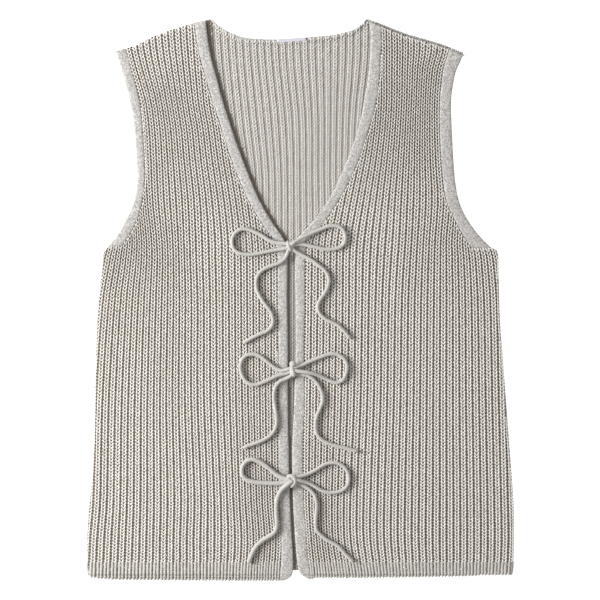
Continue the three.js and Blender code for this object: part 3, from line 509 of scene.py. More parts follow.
def strand_mesh(name, place, half, turn, dip, bow):
    """Many short plump strands of yarn in one mesh: each is a four-sided lens at its own place,
    half sizes, turn from straight down the rib, dip of its lower end, and bow to one side."""
    seed = bmesh.new()
    bmesh.ops.create_uvsphere(seed, u_segments=4, v_segments=3, radius=1)
    bmesh.ops.rotate(seed, verts=seed.verts, matrix=Matrix.Rotation(math.pi / 2, 3, "X"))
    seed.verts.index_update()
    lens = np.array([vert.co for vert in seed.verts])
    sides = [[vert.index for vert in face.verts] for face in seed.faces]
    seed.free()
    points = lens[None] * half[:, None]
    points[:, :, 0] += bow[:, None] * (1 - lens[None, :, 1] ** 2)
    cos_dip, sin_dip = np.cos(dip)[:, None], np.sin(dip)[:, None]
    y = points[:, :, 1] * cos_dip - points[:, :, 2] * sin_dip
    z = points[:, :, 1] * sin_dip + points[:, :, 2] * cos_dip
    cos_turn, sin_turn = np.cos(turn)[:, None], np.sin(turn)[:, None]
    x = points[:, :, 0] * cos_turn - y * sin_turn
    y = points[:, :, 0] * sin_turn + y * cos_turn
    points = (np.stack([x, y, z], axis=2) + place[:, None]).reshape(-1, 3) * MM
    first = np.arange(len(place)) * len(lens)
    faces = [[corner + start for corner in side] for start in first.tolist() for side in sides]
    mesh = bpy.data.meshes.new(name)
    mesh.from_pydata(points.tolist(), [], faces)
    mesh.shade_smooth()
    return mesh


# Chunky half-cardigan rib in brushed yarn: matt and soft, each strand a little lighter or darker,
# in patches of about 5 mm
rib_yarn = brushed_yarn(
    "brushed_yarn_rib_stitches", "#CCC7C0", "#EBE7E2", 210.0,
    finish={"Sheen Weight": 0.2, "Sheen Roughness": 0.6}, nap=(1300.0, 0.4, 0.0003))

# Painted shade: the same pale yarn deep between the stitches, darkened to brown for the shade the
# stitches cast there
painted_shade_deep_yarn = brushed_yarn("brushed_yarn_painted_shade_between_stitches", "#5F564A", "#7D7366", 300.0)

back_rows = (
    np.linspace(-281, 50, 60).tolist() + ARMHOLE_ROWS
    + np.linspace(68, 262, 44).tolist() + [266, 270, 274, 278, 282, 286, 291])


def side_x(armhole, side_column, inwards, y):
    """x of a side edge of the back and a front: the side, and then the armhole band's seam."""
    low = armhole[-1, 0]
    seam = down(armhole, 1, np.maximum(y, low)) + inwards * SEAM
    return np.where(y > low - SEAM, seam, down(SIDES, side_column, y) + inwards * TURN_ROOM)


def shoulder_y(x, roll=0):
    """Height of the shoulder seams, with the right one lowered by its roll."""
    return np.where(x < 0, edge_y(LEFT_SHOULDER, x), edge_y(RIGHT_SHOULDER, x) - roll)


def back_top(x):
    """The back's shoulders, and the neck's edge less its band."""
    neck = edge_y(BACK_NECK, x) - NECK_BAND - SEAM
    return np.where((x > BACK_NECK[0, 0]) & (x < BACK_NECK[-1, 0]), neck, shoulder_y(x))


# The back's inner face is knitted closer and was brushed less: a shade darker and flatter
inner_yarn = brushed_yarn("yarn_inner_face_stitches", "#B4B0AA", "#D4D1CD", 260.0)

# Painted shade: the same yarn deep between those stitches, a lighter brown than the painted shade
# under the open ribs in front
painted_shade_close_yarn = brushed_yarn("yarn_painted_shade_inner_face", "#857D72", "#A0978B", 300.0)

back_mesh = panel_mesh(
    "back", back_rows, lambda y: side_x(LEFT_ARMHOLE, 1, 1, y),
    lambda y: side_x(RIGHT_ARMHOLE, 2, -1, y), back_top, lambda x: edge_y(BACK_HEM, x), BACK_CELLS,
    lambda x, y: SIDE_RISE * side_fold(x, y), lambda x, y: BACK_WALL + 0 * x)
back = show("back_cloth", back_mesh, painted_shade_close_yarn)
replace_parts(back, "back")

# The stitches of the back's inner face, where the neck and the opening leave it in sight
LEFT_BAND = np.array([
    # y, and x of a front band's seam and of its free edge
    (294, -109.8, -98), (268.4, -106.8, -95), (250.8, -103.2, -91.9), (229.2, -97, -86),
    (207.4, -90.8, -80.3), (185.8, -83.6, -73.4), (160, -75.8, -64.7), (132, -65.6, -54),
    (104.2, -53.6, -42.4), (78.4, -38.8, -27.4), (62, -26.8, -16.2), (47.4, -23.4, -13.2),
    (0, -23, -13.2), (-51.6, -22.2, -12.4), (-103.2, -22.4, -12.4), (-154.8, -22.2, -11.6),
    (-206.4, -21.6, -10.4), (-242.6, -19.6, -8.6), (-266.2, -19.2, -7), (-281.6, -20.4, -7.6),
    (-286.6, -20.6, -10), (-290, -21, -16)])
RIGHT_BAND = np.array([
    (294, 82.6, 71.4), (268.4, 84.6, 73.2), (249.8, 83, 72.6), (229.2, 82.2, 70.6),
    (207.4, 79.4, 66.4), (185.8, 74, 62.6), (161, 66.2, 55), (132, 55.4, 43.6),
    (103.2, 40.2, 29.4), (78.4, 23.8, 10.8), (62, 8.8, -3), (47.4, 5.6, -4.8),
    (0, 5.2, -4.6), (-51.6, 4.2, -4.4), (-103.2, 5.2, -5.8), (-154.8, 3, -8),
    (-206.4, 4.2, -7.2), (-242.6, 6.8, -5.2), (-263.2, 8.2, -3.6), (-276, 10.2, -2.2),
    (-281.6, 10.8, -0.6), (-286.4, 11.6, 4), (-288.2, 12, 8.2)])
BACK_COURSE = 3.5
INNER_TOP = 286
INNER_LOW = -278
# The ribs of the back that can be seen, and how far their stitches go on under the bands
INNER_RIBS = (17, 52)
UNDER_BANDS = 7
inner_rib, inner_y = [
    grid.ravel() for grid in
    np.meshgrid(np.arange(*INNER_RIBS), np.arange(INNER_TOP, INNER_LOW, -BACK_COURSE))]
rng = np.random.default_rng(7)

# How far the left band's painted shadow reaches over the back: in the opening, down the V, and
# towards the neck point
V_LOW = 60
OPENING_SHADE = 2.2
V_SHADE = 4.2
NECK_SHADE = 7.6
NECK_SHADE_FROM = 262
NECK_SHADE_RISE = 28


def band_shade(x, y):
    """Where the left band's shadow is painted on the back, from the neck point down the V and the
    opening.
    """
    down_v = np.maximum(V_SHADE, NECK_SHADE * (y - NECK_SHADE_FROM) / NECK_SHADE_RISE)
    return x < down(LEFT_BAND, 2, y) + np.where(y > V_LOW, down_v, OPENING_SHADE)


NECK_RIM = np.array([
    # x, and the depth of the neck's edge that the ribs leave plain
    (-68, 0.3), (-64, 2.6), (-50, 2.6), (-46, 1.6), (-25, 1.6), (-24, 2.6), (7, 2.6), (8, 1.0),
    (40, 0.8), (46, 0.3)])


def neck_rim(x):
    """Depth of the neck's edge left plain: nothing where the ribs are drawn up over the binding."""
    return np.interp(x, NECK_RIM[:, 0], NECK_RIM[:, 1])


# The strands of a stitch. Two long ones go down the rib, a short one lies between them, and one
# fills the furrow. Widths and bows are shares of the rib's width, and angles are in degrees.
INNER_STRANDS = [
    # across the rib, down the course, half width, half length, height, lean, dip, bow
    (0.36, 0, 0.165, 2.3, 2.0, 2, 5, -0.03),
    (0.7, 0.05, 0.17, 2.4, 2.05, -22, 5, 0.04),
    (0.53, 0.42, 0.18, 1.45, 1.96, -20, 1, 0),
    (0.03, 0.5, 0.15, 2.5, 1.42, -24, 2, 0),
]
INNER_DEPTH = 0.62
# How unevenly the stitches lie: in x, y and height, and in turn
INNER_UNEVEN = np.array([0.06, 0.09, 0.05])
INNER_SWAY = 0.06
# Stitches within a slack of the neck's edge are drawn in clear of it, and rise over its binding
NECK_SLACK = 1.5
NECK_CLEAR = 1.6
BINDING_RISE = 1.4
BINDING_RUN = 3


def inner_line(across, y):
    """x of a line down the back at a number of ribs, at each y."""
    return furrow_x(BACK_FURROWS, BACK_RIBS_BETWEEN, across, y)


def back_strands(shaded, across, lower, half_width, half_length, height, lean, dip, bow):
    """One kind of strand on every stitch of the back that can be seen, in the shade or not."""
    y = inner_y - lower * BACK_COURSE
    x = inner_line(inner_rib + across, y)
    below = inner_line(inner_rib + across, y - 1)
    width = inner_line(inner_rib + 1, y) - inner_line(inner_rib, y)
    seen = (x > down(LEFT_BAND, 2, y) - UNDER_BANDS) & (x < down(RIGHT_BAND, 2, y) + UNDER_BANDS)
    top = edge_y(BACK_NECK, x) - neck_rim(x)
    seen &= (y < top + NECK_SLACK) & (y > INNER_LOW)
    seen &= band_shade(x, y) == shaded
    y = np.minimum(y, top - NECK_CLEAR)
    x, y, width, below = x[seen], y[seen], width[seen], below[seen]
    count = len(x)
    jitter = rng.normal(0, 1, (count, 4))
    up_binding = (y - edge_y(BACK_NECK, x) + NECK_BAND + BINDING_RUN) / BINDING_RUN
    z = height + np.clip(up_binding, 0, 1) * BINDING_RISE
    place = np.stack([x, y, z], axis=1) + INNER_UNEVEN * jitter[:, :3]
    half = np.stack([
        half_width * width, np.full(count, half_length), np.full(count, INNER_DEPTH)], axis=1)
    turn = np.radians(lean) + np.arctan(below - x) + INNER_SWAY * jitter[:, 3]
    return place, half, turn, np.full(count, np.radians(dip)), bow * width


def joined_strands(name, kinds, material):
    """One piece of the knitting, from several kinds of strand."""
    mesh = strand_mesh(name, *[np.concatenate(part) for part in zip(*kinds)])
    return show(name, mesh, material)


def inner_stitches(name, material, shaded):
    """The strands of every stitch on the inner face, in the light or in the band's painted shadow.
    """
    return joined_strands(name, [back_strands(shaded, *kind) for kind in INNER_STRANDS], material)


# Painted shadow: the stitches in the left band's cast shadow take this darker yarn
shaded_yarn = brushed_yarn("yarn_inner_face_painted_band_shadow", "#8F8577", "#A1978A", 260.0)

back_stitches = inner_stitches("back_stitches", inner_yarn, False)
back_shaded_stitches = inner_stitches("back_stitches_painted_band_shadow", shaded_yarn, True)

# The right shoulder's seam is rolled forward, so rows of the back's stitches show past it, and the
# last row lies on the front's edge
ROLL_ROWS = [0.6, 1.8, 3.0, 4.3]
ROLL_HEIGHTS = [2.1, 2.1, 2.3, 5.2]
ROLL_FROM = 70
ROLL_TO = 169
ROLL_COURSE = 2.0
ROLL_STITCH = (0.85, 1.25, 0.6)
ROLL_UNEVEN = (0.3, 0.15)
ROLL_TURN = 40
ROLL_SWAY = 20


def straight_strands(x, y, z, half, turn):
    """Strands of one size that lie flat and straight."""
    flat = np.zeros(len(x))
    return np.stack([x, y, z], axis=1), np.tile(half, (len(x), 1)), turn, flat, flat


roll_x, roll_row = [
    grid.ravel() for grid in np.meshgrid(np.arange(ROLL_FROM, ROLL_TO, ROLL_COURSE), ROLL_ROWS)]
roll_x = roll_x + ROLL_UNEVEN[0] * rng.normal(0, 1, roll_x.size)
roll_y = edge_y(RIGHT_SHOULDER, roll_x) - roll_row
roll_z = np.interp(roll_row, ROLL_ROWS, ROLL_HEIGHTS)
roll_z += ROLL_UNEVEN[1] * rng.normal(0, 1, roll_x.size)
roll_turn = np.radians(ROLL_TURN + ROLL_SWAY * rng.normal(0, 1, roll_x.size))
roll = straight_strands(roll_x, roll_y, roll_z, ROLL_STITCH, roll_turn)
shoulder_stitches = joined_strands("shoulder_stitches", [roll], inner_yarn)

# The bands: fine plain knitting from the same yarn, folded double and sewn to the raw edges of
# the ribs. One runs along the back neck, one down each front, and one round each armhole.
BAND_PROFILE = np.array([
    # places round its section, as shares of its width and of its thickness
    (0, 0.04), (0.3, 0), (0.6, 0), (0.9, 0), (0.97, 0.1), (1, 0.3), (1, 0.6), (0.96, 0.82),
    (0.88, 0.94), (0.72, 1), (0.5, 1), (0.3, 0.98), (0.12, 0.93), (0.02, 0.82), (0, 0.6),
    (0, 0.04)])
FRONT_REST = 3.1
DROOP_FROM = -281.6
DROOP_TO = -293
DROOPED_REST = 0.3
BAND_THICK = 2.9
BACK_BAND_THICK = 2.8
BAND_STATION = 2.5
# Towards the lowest point of an armhole its bands grow thinner
TAPER_RUN = 7
TAPER_TO = 0.7

# Fine jersey: rows of small V stitches 1.5 mm wide and 1.3 mm high, too fine to show one by one,
# so it reads as a close, slightly grainy, matt surface
JERSEY_WALE = 1.5
JERSEY_COURSE = 1.3
JERSEY_SLANT = 1.1
jersey = new_material("brushed_yarn_fine_jersey")
jersey_uv = add_node(jersey, "ShaderNodeUVMap", settings={"uv_map": "UVMap"})
jersey_axes = add_node(jersey, "ShaderNodeSeparateXYZ", links={"Vector": jersey_uv.outputs[0]})
wale = add_node(
    jersey, "ShaderNodeMath", settings={"operation": "PINGPONG"}, inputs={1: JERSEY_WALE / 2},
    links={0: jersey_axes.outputs["X"]})
slanted = add_node(
    jersey, "ShaderNodeMath", settings={"operation": "MULTIPLY_ADD"}, inputs={1: JERSEY_SLANT},
    links={0: wale.outputs[0], 2: jersey_axes.outputs["Y"]})
course = add_node(
    jersey, "ShaderNodeMath", settings={"operation": "PINGPONG"}, inputs={1: JERSEY_COURSE / 2},
    links={0: slanted.outputs[0]})
jersey_place = add_node(jersey, "ShaderNodeTexCoord")
jersey_noise = add_node(
    jersey, "ShaderNodeTexNoise", inputs={"Scale": 620.0, "Detail": 3.0, "Roughness": 0.7},
    links={"Vector": jersey_place.outputs["Object"]})
jersey_patches = add_node(
    jersey, "ShaderNodeMapRange", inputs={"From Min": 0.3, "From Max": 0.7},
    links={"Value": jersey_noise.outputs[0]})
stitch_light = add_node(
    jersey, "ShaderNodeMapRange",
    inputs={"From Min": 0.0, "From Max": JERSEY_COURSE / 2, "To Min": -0.3, "To Max": 0.3},
    links={"Value": course.outputs[0]})
jersey_mix = add_node(
    jersey, "ShaderNodeMath", settings={"operation": "ADD", "use_clamp": True},
    links={0: jersey_patches.outputs[0], 1: stitch_light.outputs[0]})
jersey_colour = add_node(
    jersey, "ShaderNodeMix", settings={"data_type": "RGBA"},
    inputs={"A": linear("#8B8680"), "B": linear("#EEEBE7")},
    links={"Factor": jersey_mix.outputs[0]})
jersey_bump = add_node(
    jersey, "ShaderNodeBump", inputs={"Strength": 1.0, "Distance": 0.0005},
    links={"Height": jersey_mix.outputs[0]})
jersey_shader = add_node(
    jersey, "ShaderNodeBsdfPrincipled",
    inputs={"Roughness": 0.93, "Sheen Weight": 0.2, "Sheen Roughness": 0.6},
    links={"Base Color": jersey_colour.outputs["Result"], "Normal": jersey_bump.outputs[0]})
add_node(jersey, "ShaderNodeOutputMaterial", links={"Surface": jersey_shader.outputs[0]})


def front_rest(y):
    """Height at which the fronts rest: on the back, and past its hem down to the surface."""
    return np.interp(y, [DROOP_TO, DROOP_FROM], [DROOPED_REST, FRONT_REST])


def band_mesh(name, seam, free, rest, thick):
    """A band: its profile set square across one station after another, with closed ends."""
    strip = bmesh.new()
    corners, stations = len(BAND_PROFILE) - 1, len(seam) - 1
    bmesh.ops.create_grid(strip, x_segments=corners, y_segments=stations, size=0.5)
    middle = (seam + free) / 2
    run = np.concatenate([[0], np.cumsum(np.linalg.norm(np.diff(middle, axis=0), axis=1))])
    width = np.linalg.norm(free - seam, axis=1)
    uv = strip.loops.layers.uv.new("UVMap")
    for face in strip.faces:
        for loop in face.loops:
            i, s = grid_steps(loop.vert, corners, stations)
            across, up = BAND_PROFILE[i]
            loop[uv].uv = (across * width[s], run[s])
    for vert in strip.verts:
        i, s = grid_steps(vert, corners, stations)
        across, up = BAND_PROFILE[i]
        x, y = seam[s] + (free[s] - seam[s]) * across
        vert.co = (x * MM, y * MM, (rest[s] + up * thick[s]) * MM)
    bmesh.ops.remove_doubles(strip, verts=strip.verts, dist=1e-7)
    bmesh.ops.holes_fill(strip, edges=[e for e in strip.edges if e.is_boundary], sides=0)
    return finished(name, strip)


def band_down(name, table, top, bottom, rest, thick):
    """A band that runs down the vest between a top line and a lowest point."""
    y = np.linspace(table[0, 0], bottom, int((table[0, 0] - bottom) / BAND_STATION))
    seam = np.stack([down(table, 1, y), y], axis=1)
    free = np.stack([down(table, 2, y), y], axis=1)
    seam[:, 1] = np.minimum(seam[:, 1], top(seam[:, 0]))
    free[:, 1] = np.minimum(free[:, 1], top(free[:, 0]))
    kept = (seam[:, 1] > np.roll(seam[:, 1], -1) + 0.01) | (np.arange(len(y)) == len(y) - 1)
    seam, free, y = seam[kept], free[kept], y[kept]
    taper = np.interp(y - bottom, [0, TAPER_RUN], [TAPER_TO, 1]) if bottom > 0 else np.ones(len(y))
    mesh = band_mesh(name, seam, free, rest(y), thick * taper)
    band = show(f"{name}_cloth", mesh, jersey)
    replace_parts(band, name)


NECK_STATIONS = 70
NECK_BAND_THICK = 3.2


def neck_strip(name, x, depth, rest, thick):
    """A strip of knitting or tape that hangs down from the back neck's edge."""
    free = np.stack([x, read_curve(BACK_NECK[:, 0], BACK_NECK[:, 1], x)], axis=1)
    return band_mesh(
        name, free - [0, depth], free, np.full(len(x), rest), np.full(len(x), thick))


neck_x = np.linspace(BACK_NECK[0, 0], BACK_NECK[-1, 0], NECK_STATIONS)
neck_mesh = neck_strip("neck_band_back", neck_x, NECK_BAND, 0, NECK_BAND_THICK)
neck_band = show("neck_binding", neck_mesh, jersey)
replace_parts(neck_band, "neck_band_back")

# How far the right shoulder's roll lowers the top of the front, and of the back's armhole band
RIGHT_ROLL = 3.4
BAND_ROLL = 2.2


def front_shoulder(x):
    """Top line of the fronts."""
    return shoulder_y(x, RIGHT_ROLL)


for side, table, lowest in (("left", LEFT_BAND, -290), ("right", RIGHT_BAND, -288.2)):
    band_down(
        f"front_band_{side}", table, front_shoulder, lowest, front_rest, BAND_THICK)
for side, table in (("left", LEFT_ARMHOLE), ("right", RIGHT_ARMHOLE)):
    lowest = table[-1, 0]
    band_down(
        f"armhole_band_{side}_front", table, front_shoulder, lowest,
        lambda y: np.full(len(y), FRONT_REST), BAND_THICK)
    band_down(
        f"armhole_band_{side}_back", table, lambda x: shoulder_y(x, BAND_ROLL), lowest,
        lambda y: np.zeros(len(y)), BACK_BAND_THICK)

# The label: a short length of plain white satin tape sewn inside the back neck, with nothing on it
LABEL_FROM = -23.4
LABEL_TO = 6.4
LABEL_HEIGHT = 3.6
LABEL_REST = 3.5
LABEL_THICK = 0.6
LABEL_STATIONS = 25

# Woven satin: smoother than the yarn, with fine threads across it and a slight shine. Its colour is
# a pale lavender grey: the tape's own faint tint, greyed further as painted shade where it lies
# inside the back neck
satin = new_material("white_satin_label_tape")
satin_place = add_node(satin, "ShaderNodeTexCoord")
satin_weave = add_node(
    satin, "ShaderNodeTexWave", settings={"bands_direction": "X"},
    inputs={"Scale": 900.0, "Distortion": 0.6}, links={"Vector": satin_place.outputs["Object"]})
satin_bump = add_node(
    satin, "ShaderNodeBump", inputs={"Strength": 0.2, "Distance": 0.0001},
    links={"Height": satin_weave.outputs["Fac"]})
satin_shader = add_node(
    satin, "ShaderNodeBsdfPrincipled",
    inputs={"Base Color": linear("#CAC7D1"), "Roughness": 0.45, "Sheen Weight": 0.3},
    links={"Normal": satin_bump.outputs[0]})
add_node(satin, "ShaderNodeOutputMaterial", links={"Surface": satin_shader.outputs[0]})

label_x = np.linspace(LABEL_FROM, LABEL_TO, LABEL_STATIONS)
label_mesh = neck_strip("neck_label", label_x, LABEL_HEIGHT, LABEL_REST, LABEL_THICK)
label = show("blank_label", label_mesh, satin)
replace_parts(label, "neck_label")

# The fronts: half-cardigan rib with its outer face up. Down each rib runs a chain of stitches, each
# of two bowed strands round a small hole, and tucked yarn crosses the furrows between the ribs. The
# last rows are plain rib.
LEFT_FURROWS = np.array([
    # y, and x of every seventh furrow
    (293, -51.6, -91.8, -137.2, -182, -222), (258, -49.6, -90.8, -134.6, -179.6, -217.8),
    (206.4, -45.4, -87.8, -127, -165.2, -205.4), (175.4, -43.4, -83, -122.2, -161, -201.2),
    (144.4, -39.2, -78.8, -119.4, -159.4, -199.2), (103.2, -31, -72.2, -115.4, -157.4, -190),
    (62, -25.8, -67.6, -113.6, -153.2, -187.6), (41.2, -23.8, -67.2, -113, -152.6, -190.6),
    (0, -23.2, -66.8, -111.8, -154.6, -196.9), (-103.2, -23.2, -65.8, -112, -157.2, -203.6),
    (-206.4, -22, -62.2, -108.6, -157.4, -206), (-247.6, -19, -60.2, -109.6, -158.2, -209),
    (-281.6, -20.4, -61.8, -109.4, -159, -210.4), (-293, -20.6, -62, -109.4, -159.4, -210.6)])
RIGHT_FURROWS = np.array([
    (293, 32, 72.2, 111.4, 155, 197), (258, 33, 73.2, 112, 153.8, 195),
    (237.4, 35, 73.2, 111.2, 147.6, 187.8), (206.4, 37.2, 73.8, 110.4, 144.4, 182.6),
    (175.4, 35, 71.8, 108.8, 144.4, 182.6), (144.4, 26.8, 67, 107.2, 145.8, 185.8),
    (103.2, 14.4, 59.4, 104.8, 148.6, 188.8), (62, 7.2, 52.6, 102.6, 145.6, 184.6),
    (41.2, 6.2, 51.4, 101, 145.2, 187.4), (0, 5.6, 51, 98.8, 145, 190.2),
    (-103.2, 4.2, 49.4, 97.2, 144.6, 192), (-206.4, 3.6, 45.6, 94.4, 144.6, 193.8),
    (-247.6, 6.2, 46.2, 94.2, 144.4, 194.2), (-281.6, 9.6, 51.8, 97.2, 145.2, 193.4),
    (-293, 10.4, 53.2, 98, 145.6, 193.2)])
FRONT_RIBS_BETWEEN = 7
FRONT_HEM = np.array([
    (-221, -287.6), (-185.8, -289.4), (-103.2, -290.2), (-20.6, -291), (12, -288.2),
    (62, -287.4), (144.4, -286.2), (221, -284)])
FRONT_WALL = 1.7

# The hem's plain rib is close and flat, and was brushed less than the ribs above it
hem_yarn = brushed_yarn("yarn_hem_stitches", "#A29D96", "#C0BCB6", 260.0)

# Painted shade: the tucked yarn crosses the furrows between the ribs, and is darkened for the shade
# it lies in there
painted_shade_tuck_yarn = brushed_yarn("brushed_yarn_tucks_painted_furrow_shade", "#A0978A", "#BDB4A8", 260.0)
STITCH_MIDDLE = 2.2
SIDE_DROP = 1.5
WALL_DROP = 0.9
FRONT_CELLS = 48
FIRST_COURSE = 289
HEM_FROM = -271.4
LAST_COURSE = -291
COURSES = np.array([
    # y, and the height of a course of stitches, which is drawn shorter towards the hem
    (-293, 3.08), (-219, 3.12), (-167, 3.26), (-90, 3.4), (-12, 3.48), (60, 3.68), (132, 3.6),
    (206, 3.66), (293, 3.7)])
MEAN_COURSE = 3.5

front_rows = (
    [-292, -290, -288, -286, -284, -282] + np.linspace(-279, 50, 84).tolist()
    + ARMHOLE_ROWS + np.linspace(68, 250, 46).tolist()
    + [254, 258, 262, 266, 270, 274, 278, 282, 286, 291])


# The main creases: soft troughs and ridges pressed into the fronts as they lie
CREASES = np.array([
    # x, y, half length, half width, rise
    (-198, -183, 55, 7, -0.6),
    (-186, 15, 24, 8, -0.45),
    (104, 42, 55, 9, 0.6),
    (110, -225, 50, 45, 0.9),
])
SIDE_TOP = 49.6
# Strands that run to a band's seam are pushed in this far from it, and others end short of it
SEAM_ROOM = 1.05
LEG_OVERHANG = 0.15
STRAND_INSET = 0.7
# Those within a slack of the hem or of the shoulder are drawn in clear of it
EDGE_SLACK = 0.5
HEM_CLEAR = 2.8
SHOULDER_CLEAR = 1.5
# Under an armhole's lowest point the side steps out, and its first row of strands is set down
CORNER_ROW = 2.6
CORNER_DROP = 1.2
# The links over the band seams, and the last strands at the sides: half sizes, how far in and how
# deep they lie, how unevenly, and their turn and sway
LINK = {
    "half": (0.62, 1.45, 0.7), "inset": 0.75, "sunk": 0.35, "uneven": 0.15, "turn": 72, "sway": 7}
SIDE_STRAND = {
    "half": (1.05, 2.35, 0.6), "inset": 0.75, "sunk": 0.1, "uneven": 0.1, "turn": 10, "sway": 3}

# The strands of each stitch: how far each lies across its rib, how many courses up and how deep.
# Its half sizes are a span, as a share of the rib's width, with a share by which it is uneven, a
# height at the mean course, and a depth. It turns and sways by degrees, spreads and bows by shares
# of the rib's width, and dips. The narrow values are what a rib that is drawn narrow takes off its
# span and height and adds to its bow, so that its stitches stand open round larger holes.
STRAND = {
    "up": 0, "sunk": 0, "uneven": 0, "turn": 0, "spread": 0, "dip": 0, "bow": 0,
    "narrow_span": 0, "narrow_height": 0, "narrow_bow": 0}
LEG = {
    **STRAND, "across": 0.185, "span": 0.15, "uneven": 0.06, "height": 2.35, "depth": 0.85,
    "sway": 2, "spread": 0.11, "dip": 0.1, "bow": 0.055, "narrow_span": 0.03, "narrow_bow": 0.03}
HEM_LEG = {
    **STRAND, "across": 0.235, "span": 0.29, "uneven": 0.04, "height": 3.6, "depth": 0.45,
    "turn": 2, "sway": 2, "dip": 0.03}
JOINT = {
    **STRAND, "across": 0, "up": -0.39, "sunk": 0.15, "span": 0.16, "height": 1.1, "depth": 0.7,
    "sway": 4, "narrow_span": 0.03, "narrow_height": 0.35}
# The tuck lies across its furrow, so its span is its length
TUCK = {
    **STRAND, "across": 0.5, "up": 0.08, "sunk": 0.52, "span": 0.21, "height": 0.72, "depth": 0.6,
    "turn": 80, "sway": 7, "dip": 0.03, "narrow_height": 0.16}
# Widths of an easy rib, and of one that is drawn fully narrow
WIDE_RIB = 6.7
NARROW_RIB = 5.2
FRONT_UNEVEN = np.array([0.07, 0.09, 0.05])


def crease(x, y):
    """Height that the creases add to a front or take from it."""
    total = 0
    for middle_x, middle_y, half_length, half_width, rise in CREASES:
        fade = np.exp(-((y - middle_y) / half_length) ** 4)
        total = total + rise * fade * np.exp(-((x - middle_x) / half_width) ** 2)
    return total


def front_over(x, y):
    """Height of a front's stitches at a point."""
    return front_rest(y) + STITCH_MIDDLE - SIDE_DROP * side_fold(x, y) + crease(x, y)


def course_height(y):
    """Height of a course of stitches at each y."""
    return np.interp(y, COURSES[:, 0], COURSES[:, 1])


def course_lines(top, bottom):
    """y of each course of stitches between two heights on the vest."""
    lines = [top]
    while lines[-1] > bottom:
        lines.append(lines[-1] - course_height(lines[-1]))
    return np.array(lines[:-1])


def seam_links(line, line_column, step_in, lowest):
    """A short strand across a band's seam at each course, with a dark hole between each two."""
    inset = step_in * LINK["inset"]
    y = course_lines(FIRST_COURSE, lowest)
    y = y[y < front_shoulder(down(line, line_column, y) + inset) - 1]
    x = down(line, line_column, y) + inset
    slope = np.arctan(down(line, line_column, y - 1) + inset - x)
    jitter = rng.normal(0, 1, (len(x), 3))
    z = front_over(x, y) - LINK["sunk"] + FRONT_UNEVEN[2] * jitter[:, 1]
    turn = slope + np.radians(LINK["turn"] * step_in + LINK["sway"] * jitter[:, 2])
    return straight_strands(x, y + LINK["uneven"] * jitter[:, 0], z, LINK["half"], turn)


def side_strands(side_column, towards):
    """The last strands of each course, which turn over the side's fold."""
    y = course_lines(SIDE_TOP, HEM_FROM)
    x = down(SIDES, side_column, y) - towards * SIDE_STRAND["inset"]
    slope = np.arctan(down(SIDES, side_column, y - 1) - down(SIDES, side_column, y))
    jitter = rng.normal(0, 1, (len(x), 2))
    z = front_over(x, y) - SIDE_STRAND["sunk"]
    turn = slope - towards * np.radians(SIDE_STRAND["turn"] + SIDE_STRAND["sway"] * jitter[:, 1])
    y = y + SIDE_STRAND["uneven"] * jitter[:, 0]
    return straight_strands(x, y, z, SIDE_STRAND["half"], turn)


def strand_shape(kind, lean_to, width, tall, jitter):
    """Half sizes, turn, dip and bow of one kind of strand on ribs of these widths, where a
    course is this many times its mean height."""
    full = np.ones(len(width))
    narrow = np.clip((WIDE_RIB - width) / (WIDE_RIB - NARROW_RIB), 0, 1)
    span = (kind["span"] - kind["narrow_span"] * narrow) * width * (1 + kind["uneven"] * jitter)
    height = (kind["height"] - kind["narrow_height"] * narrow) * tall
    long_way = [height, span] if kind is TUCK else [span, height]
    half = np.stack(long_way + [kind["depth"] * full], axis=1)
    lean = np.arcsin(kind["spread"] * width / kind["height"])
    lean = lean + np.radians(kind["turn"] + kind["sway"] * jitter)
    bow = lean_to * (kind["bow"] + kind["narrow_bow"] * narrow) * width
    return half, (-lean_to or 1) * lean, kind["dip"] * full, bow


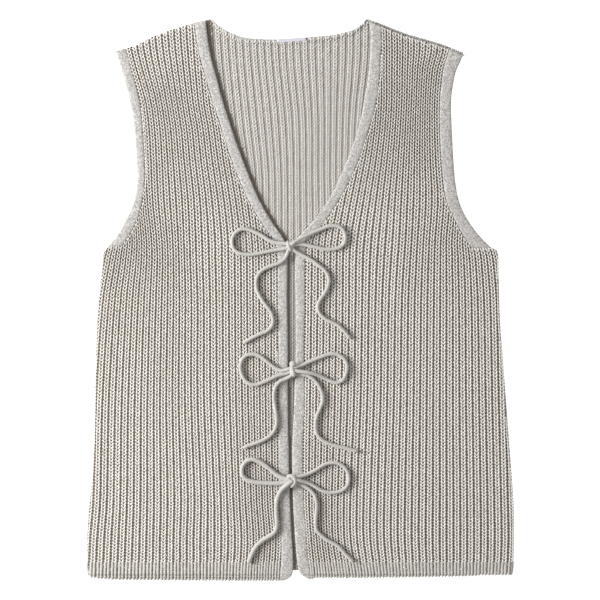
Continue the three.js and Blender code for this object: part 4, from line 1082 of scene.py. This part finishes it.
def front_strands(panel, kind, lean_to=0, hem=False):
    """One kind of strand on every stitch of a front, of its ribs or of its hem. The legs lean to
    one side of their rib or the other."""
    furrows, armhole, towards = panel["furrows"], panel["armhole"], panel["towards"]
    rows = course_lines(FIRST_COURSE, LAST_COURSE if hem else HEM_FROM)
    rows = rows[rows < HEM_FROM] if hem else rows
    rib, row = [grid.ravel() for grid in np.meshgrid(np.arange(-1, panel["ribs"]), rows)]
    y = row + kind["up"] * course_height(row)
    low = armhole[-1, 0]
    side_at_low = down(SIDES, panel["side_column"], np.array([low - 1]))[0]
    line = rib + 0.5 + towards * (lean_to or 1) * kind["across"]
    x = furrow_x(furrows, FRONT_RIBS_BETWEEN, line, y)
    below = furrow_x(furrows, FRONT_RIBS_BETWEEN, line, y - 1) - x
    width = furrow_x(furrows, FRONT_RIBS_BETWEEN, rib + 1, y)
    width = np.abs(width - furrow_x(furrows, FRONT_RIBS_BETWEEN, rib, y))
    seam = down(panel["band"], 1, y)
    side = np.where(
        y > low - 1, down(armhole, 1, np.maximum(y, low)), down(SIDES, panel["side_column"], y))
    from_seam = towards * (x - seam)
    from_side = towards * (side - x)
    past = -LEG_OVERHANG * width if lean_to else STRAND_INSET
    first_row = (y > low - 1) & (y < low + CORNER_ROW) & (from_side <= past)
    first_row &= towards * (side_at_low - x) > CORNER_ROW
    kept = (from_seam > past) & ((from_side > past) | first_row)
    side = np.where(first_row, side_at_low, side)
    y = np.where(first_row, low - CORNER_DROP, y)
    if lean_to:
        x = seam + towards * np.maximum(from_seam, SEAM_ROOM)
        x = side - towards * np.maximum(towards * (side - x), SEAM_ROOM)
    hem_y = edge_y(FRONT_HEM, x)
    kept &= (y < front_shoulder(x) + EDGE_SLACK) & (y > hem_y + EDGE_SLACK)
    y = np.clip(y, hem_y + HEM_CLEAR, front_shoulder(x) - SHOULDER_CLEAR)
    x, y, width, below = x[kept], y[kept], width[kept], below[kept]
    jitter = rng.normal(0, 1, (len(x), 4))
    place = np.stack([x, y, front_over(x, y) - kind["sunk"]], axis=1)
    tall = course_height(y) / MEAN_COURSE
    half, turn, dip, bow = strand_shape(kind, lean_to, width, tall, jitter[:, 3])
    return place + FRONT_UNEVEN * jitter[:, :3], half, np.arctan(below) + turn, dip, bow


def front(name, panel):
    """One front: a closed wall of cloth under its stitches."""
    band, armhole, towards = panel["band"], panel["armhole"], panel["towards"]
    mesh = panel_mesh(
        name, front_rows, lambda y: down(band, 1, y) + towards * SEAM,
        lambda y: side_x(armhole, panel["side_column"], -towards, y), front_shoulder,
        lambda x: edge_y(FRONT_HEM, x) + HEM_ROOM, FRONT_CELLS,
        lambda x, y: front_rest(y),
        lambda x, y: front_rest(y) + FRONT_WALL - SIDE_DROP * side_fold(x, y) * WALL_DROP
        + crease(x, y))
    wall = show(f"{name}_cloth", mesh, painted_shade_deep_yarn)
    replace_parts(wall, name)
    legs = [front_strands(panel, LEG, lean_to) for lean_to in (-1, 1)]
    joints = [
        front_strands(panel, JOINT), seam_links(band, 1, towards, HEM_FROM),
        seam_links(armhole, 1, -towards, armhole[-1, 0])]
    tucks = [front_strands(panel, TUCK)]
    hem_legs = [front_strands(panel, HEM_LEG, lean_to, hem=True) for lean_to in (-1, 1)]
    side = [side_strands(panel["side_column"], towards)]
    pieces = [
        joined_strands(f"{name}_stitches", legs, rib_yarn),
        joined_strands(f"{name}_stitch_joints", joints, rib_yarn),
        joined_strands(f"{name}_tucks", tucks, painted_shade_tuck_yarn),
        joined_strands(f"{name}_hem_stitches", hem_legs, hem_yarn),
        joined_strands(f"{name}_side_stitches", side, panel["side_yarn"])]


LEFT_PANEL = {
    "furrows": LEFT_FURROWS, "ribs": 31, "band": LEFT_BAND, "armhole": LEFT_ARMHOLE,
    "side_column": 1, "towards": -1, "side_yarn": inner_yarn}
# The right front's side strands take the painted-shade yarn, for the shade where its fold turns away
# from the soft box
RIGHT_PANEL = {
    "furrows": RIGHT_FURROWS, "ribs": 33, "band": RIGHT_BAND, "armhole": RIGHT_ARMHOLE,
    "side_column": 2, "towards": 1, "side_yarn": painted_shade_close_yarn}
front("front_left", LEFT_PANEL)
front("front_right", RIGHT_PANEL)
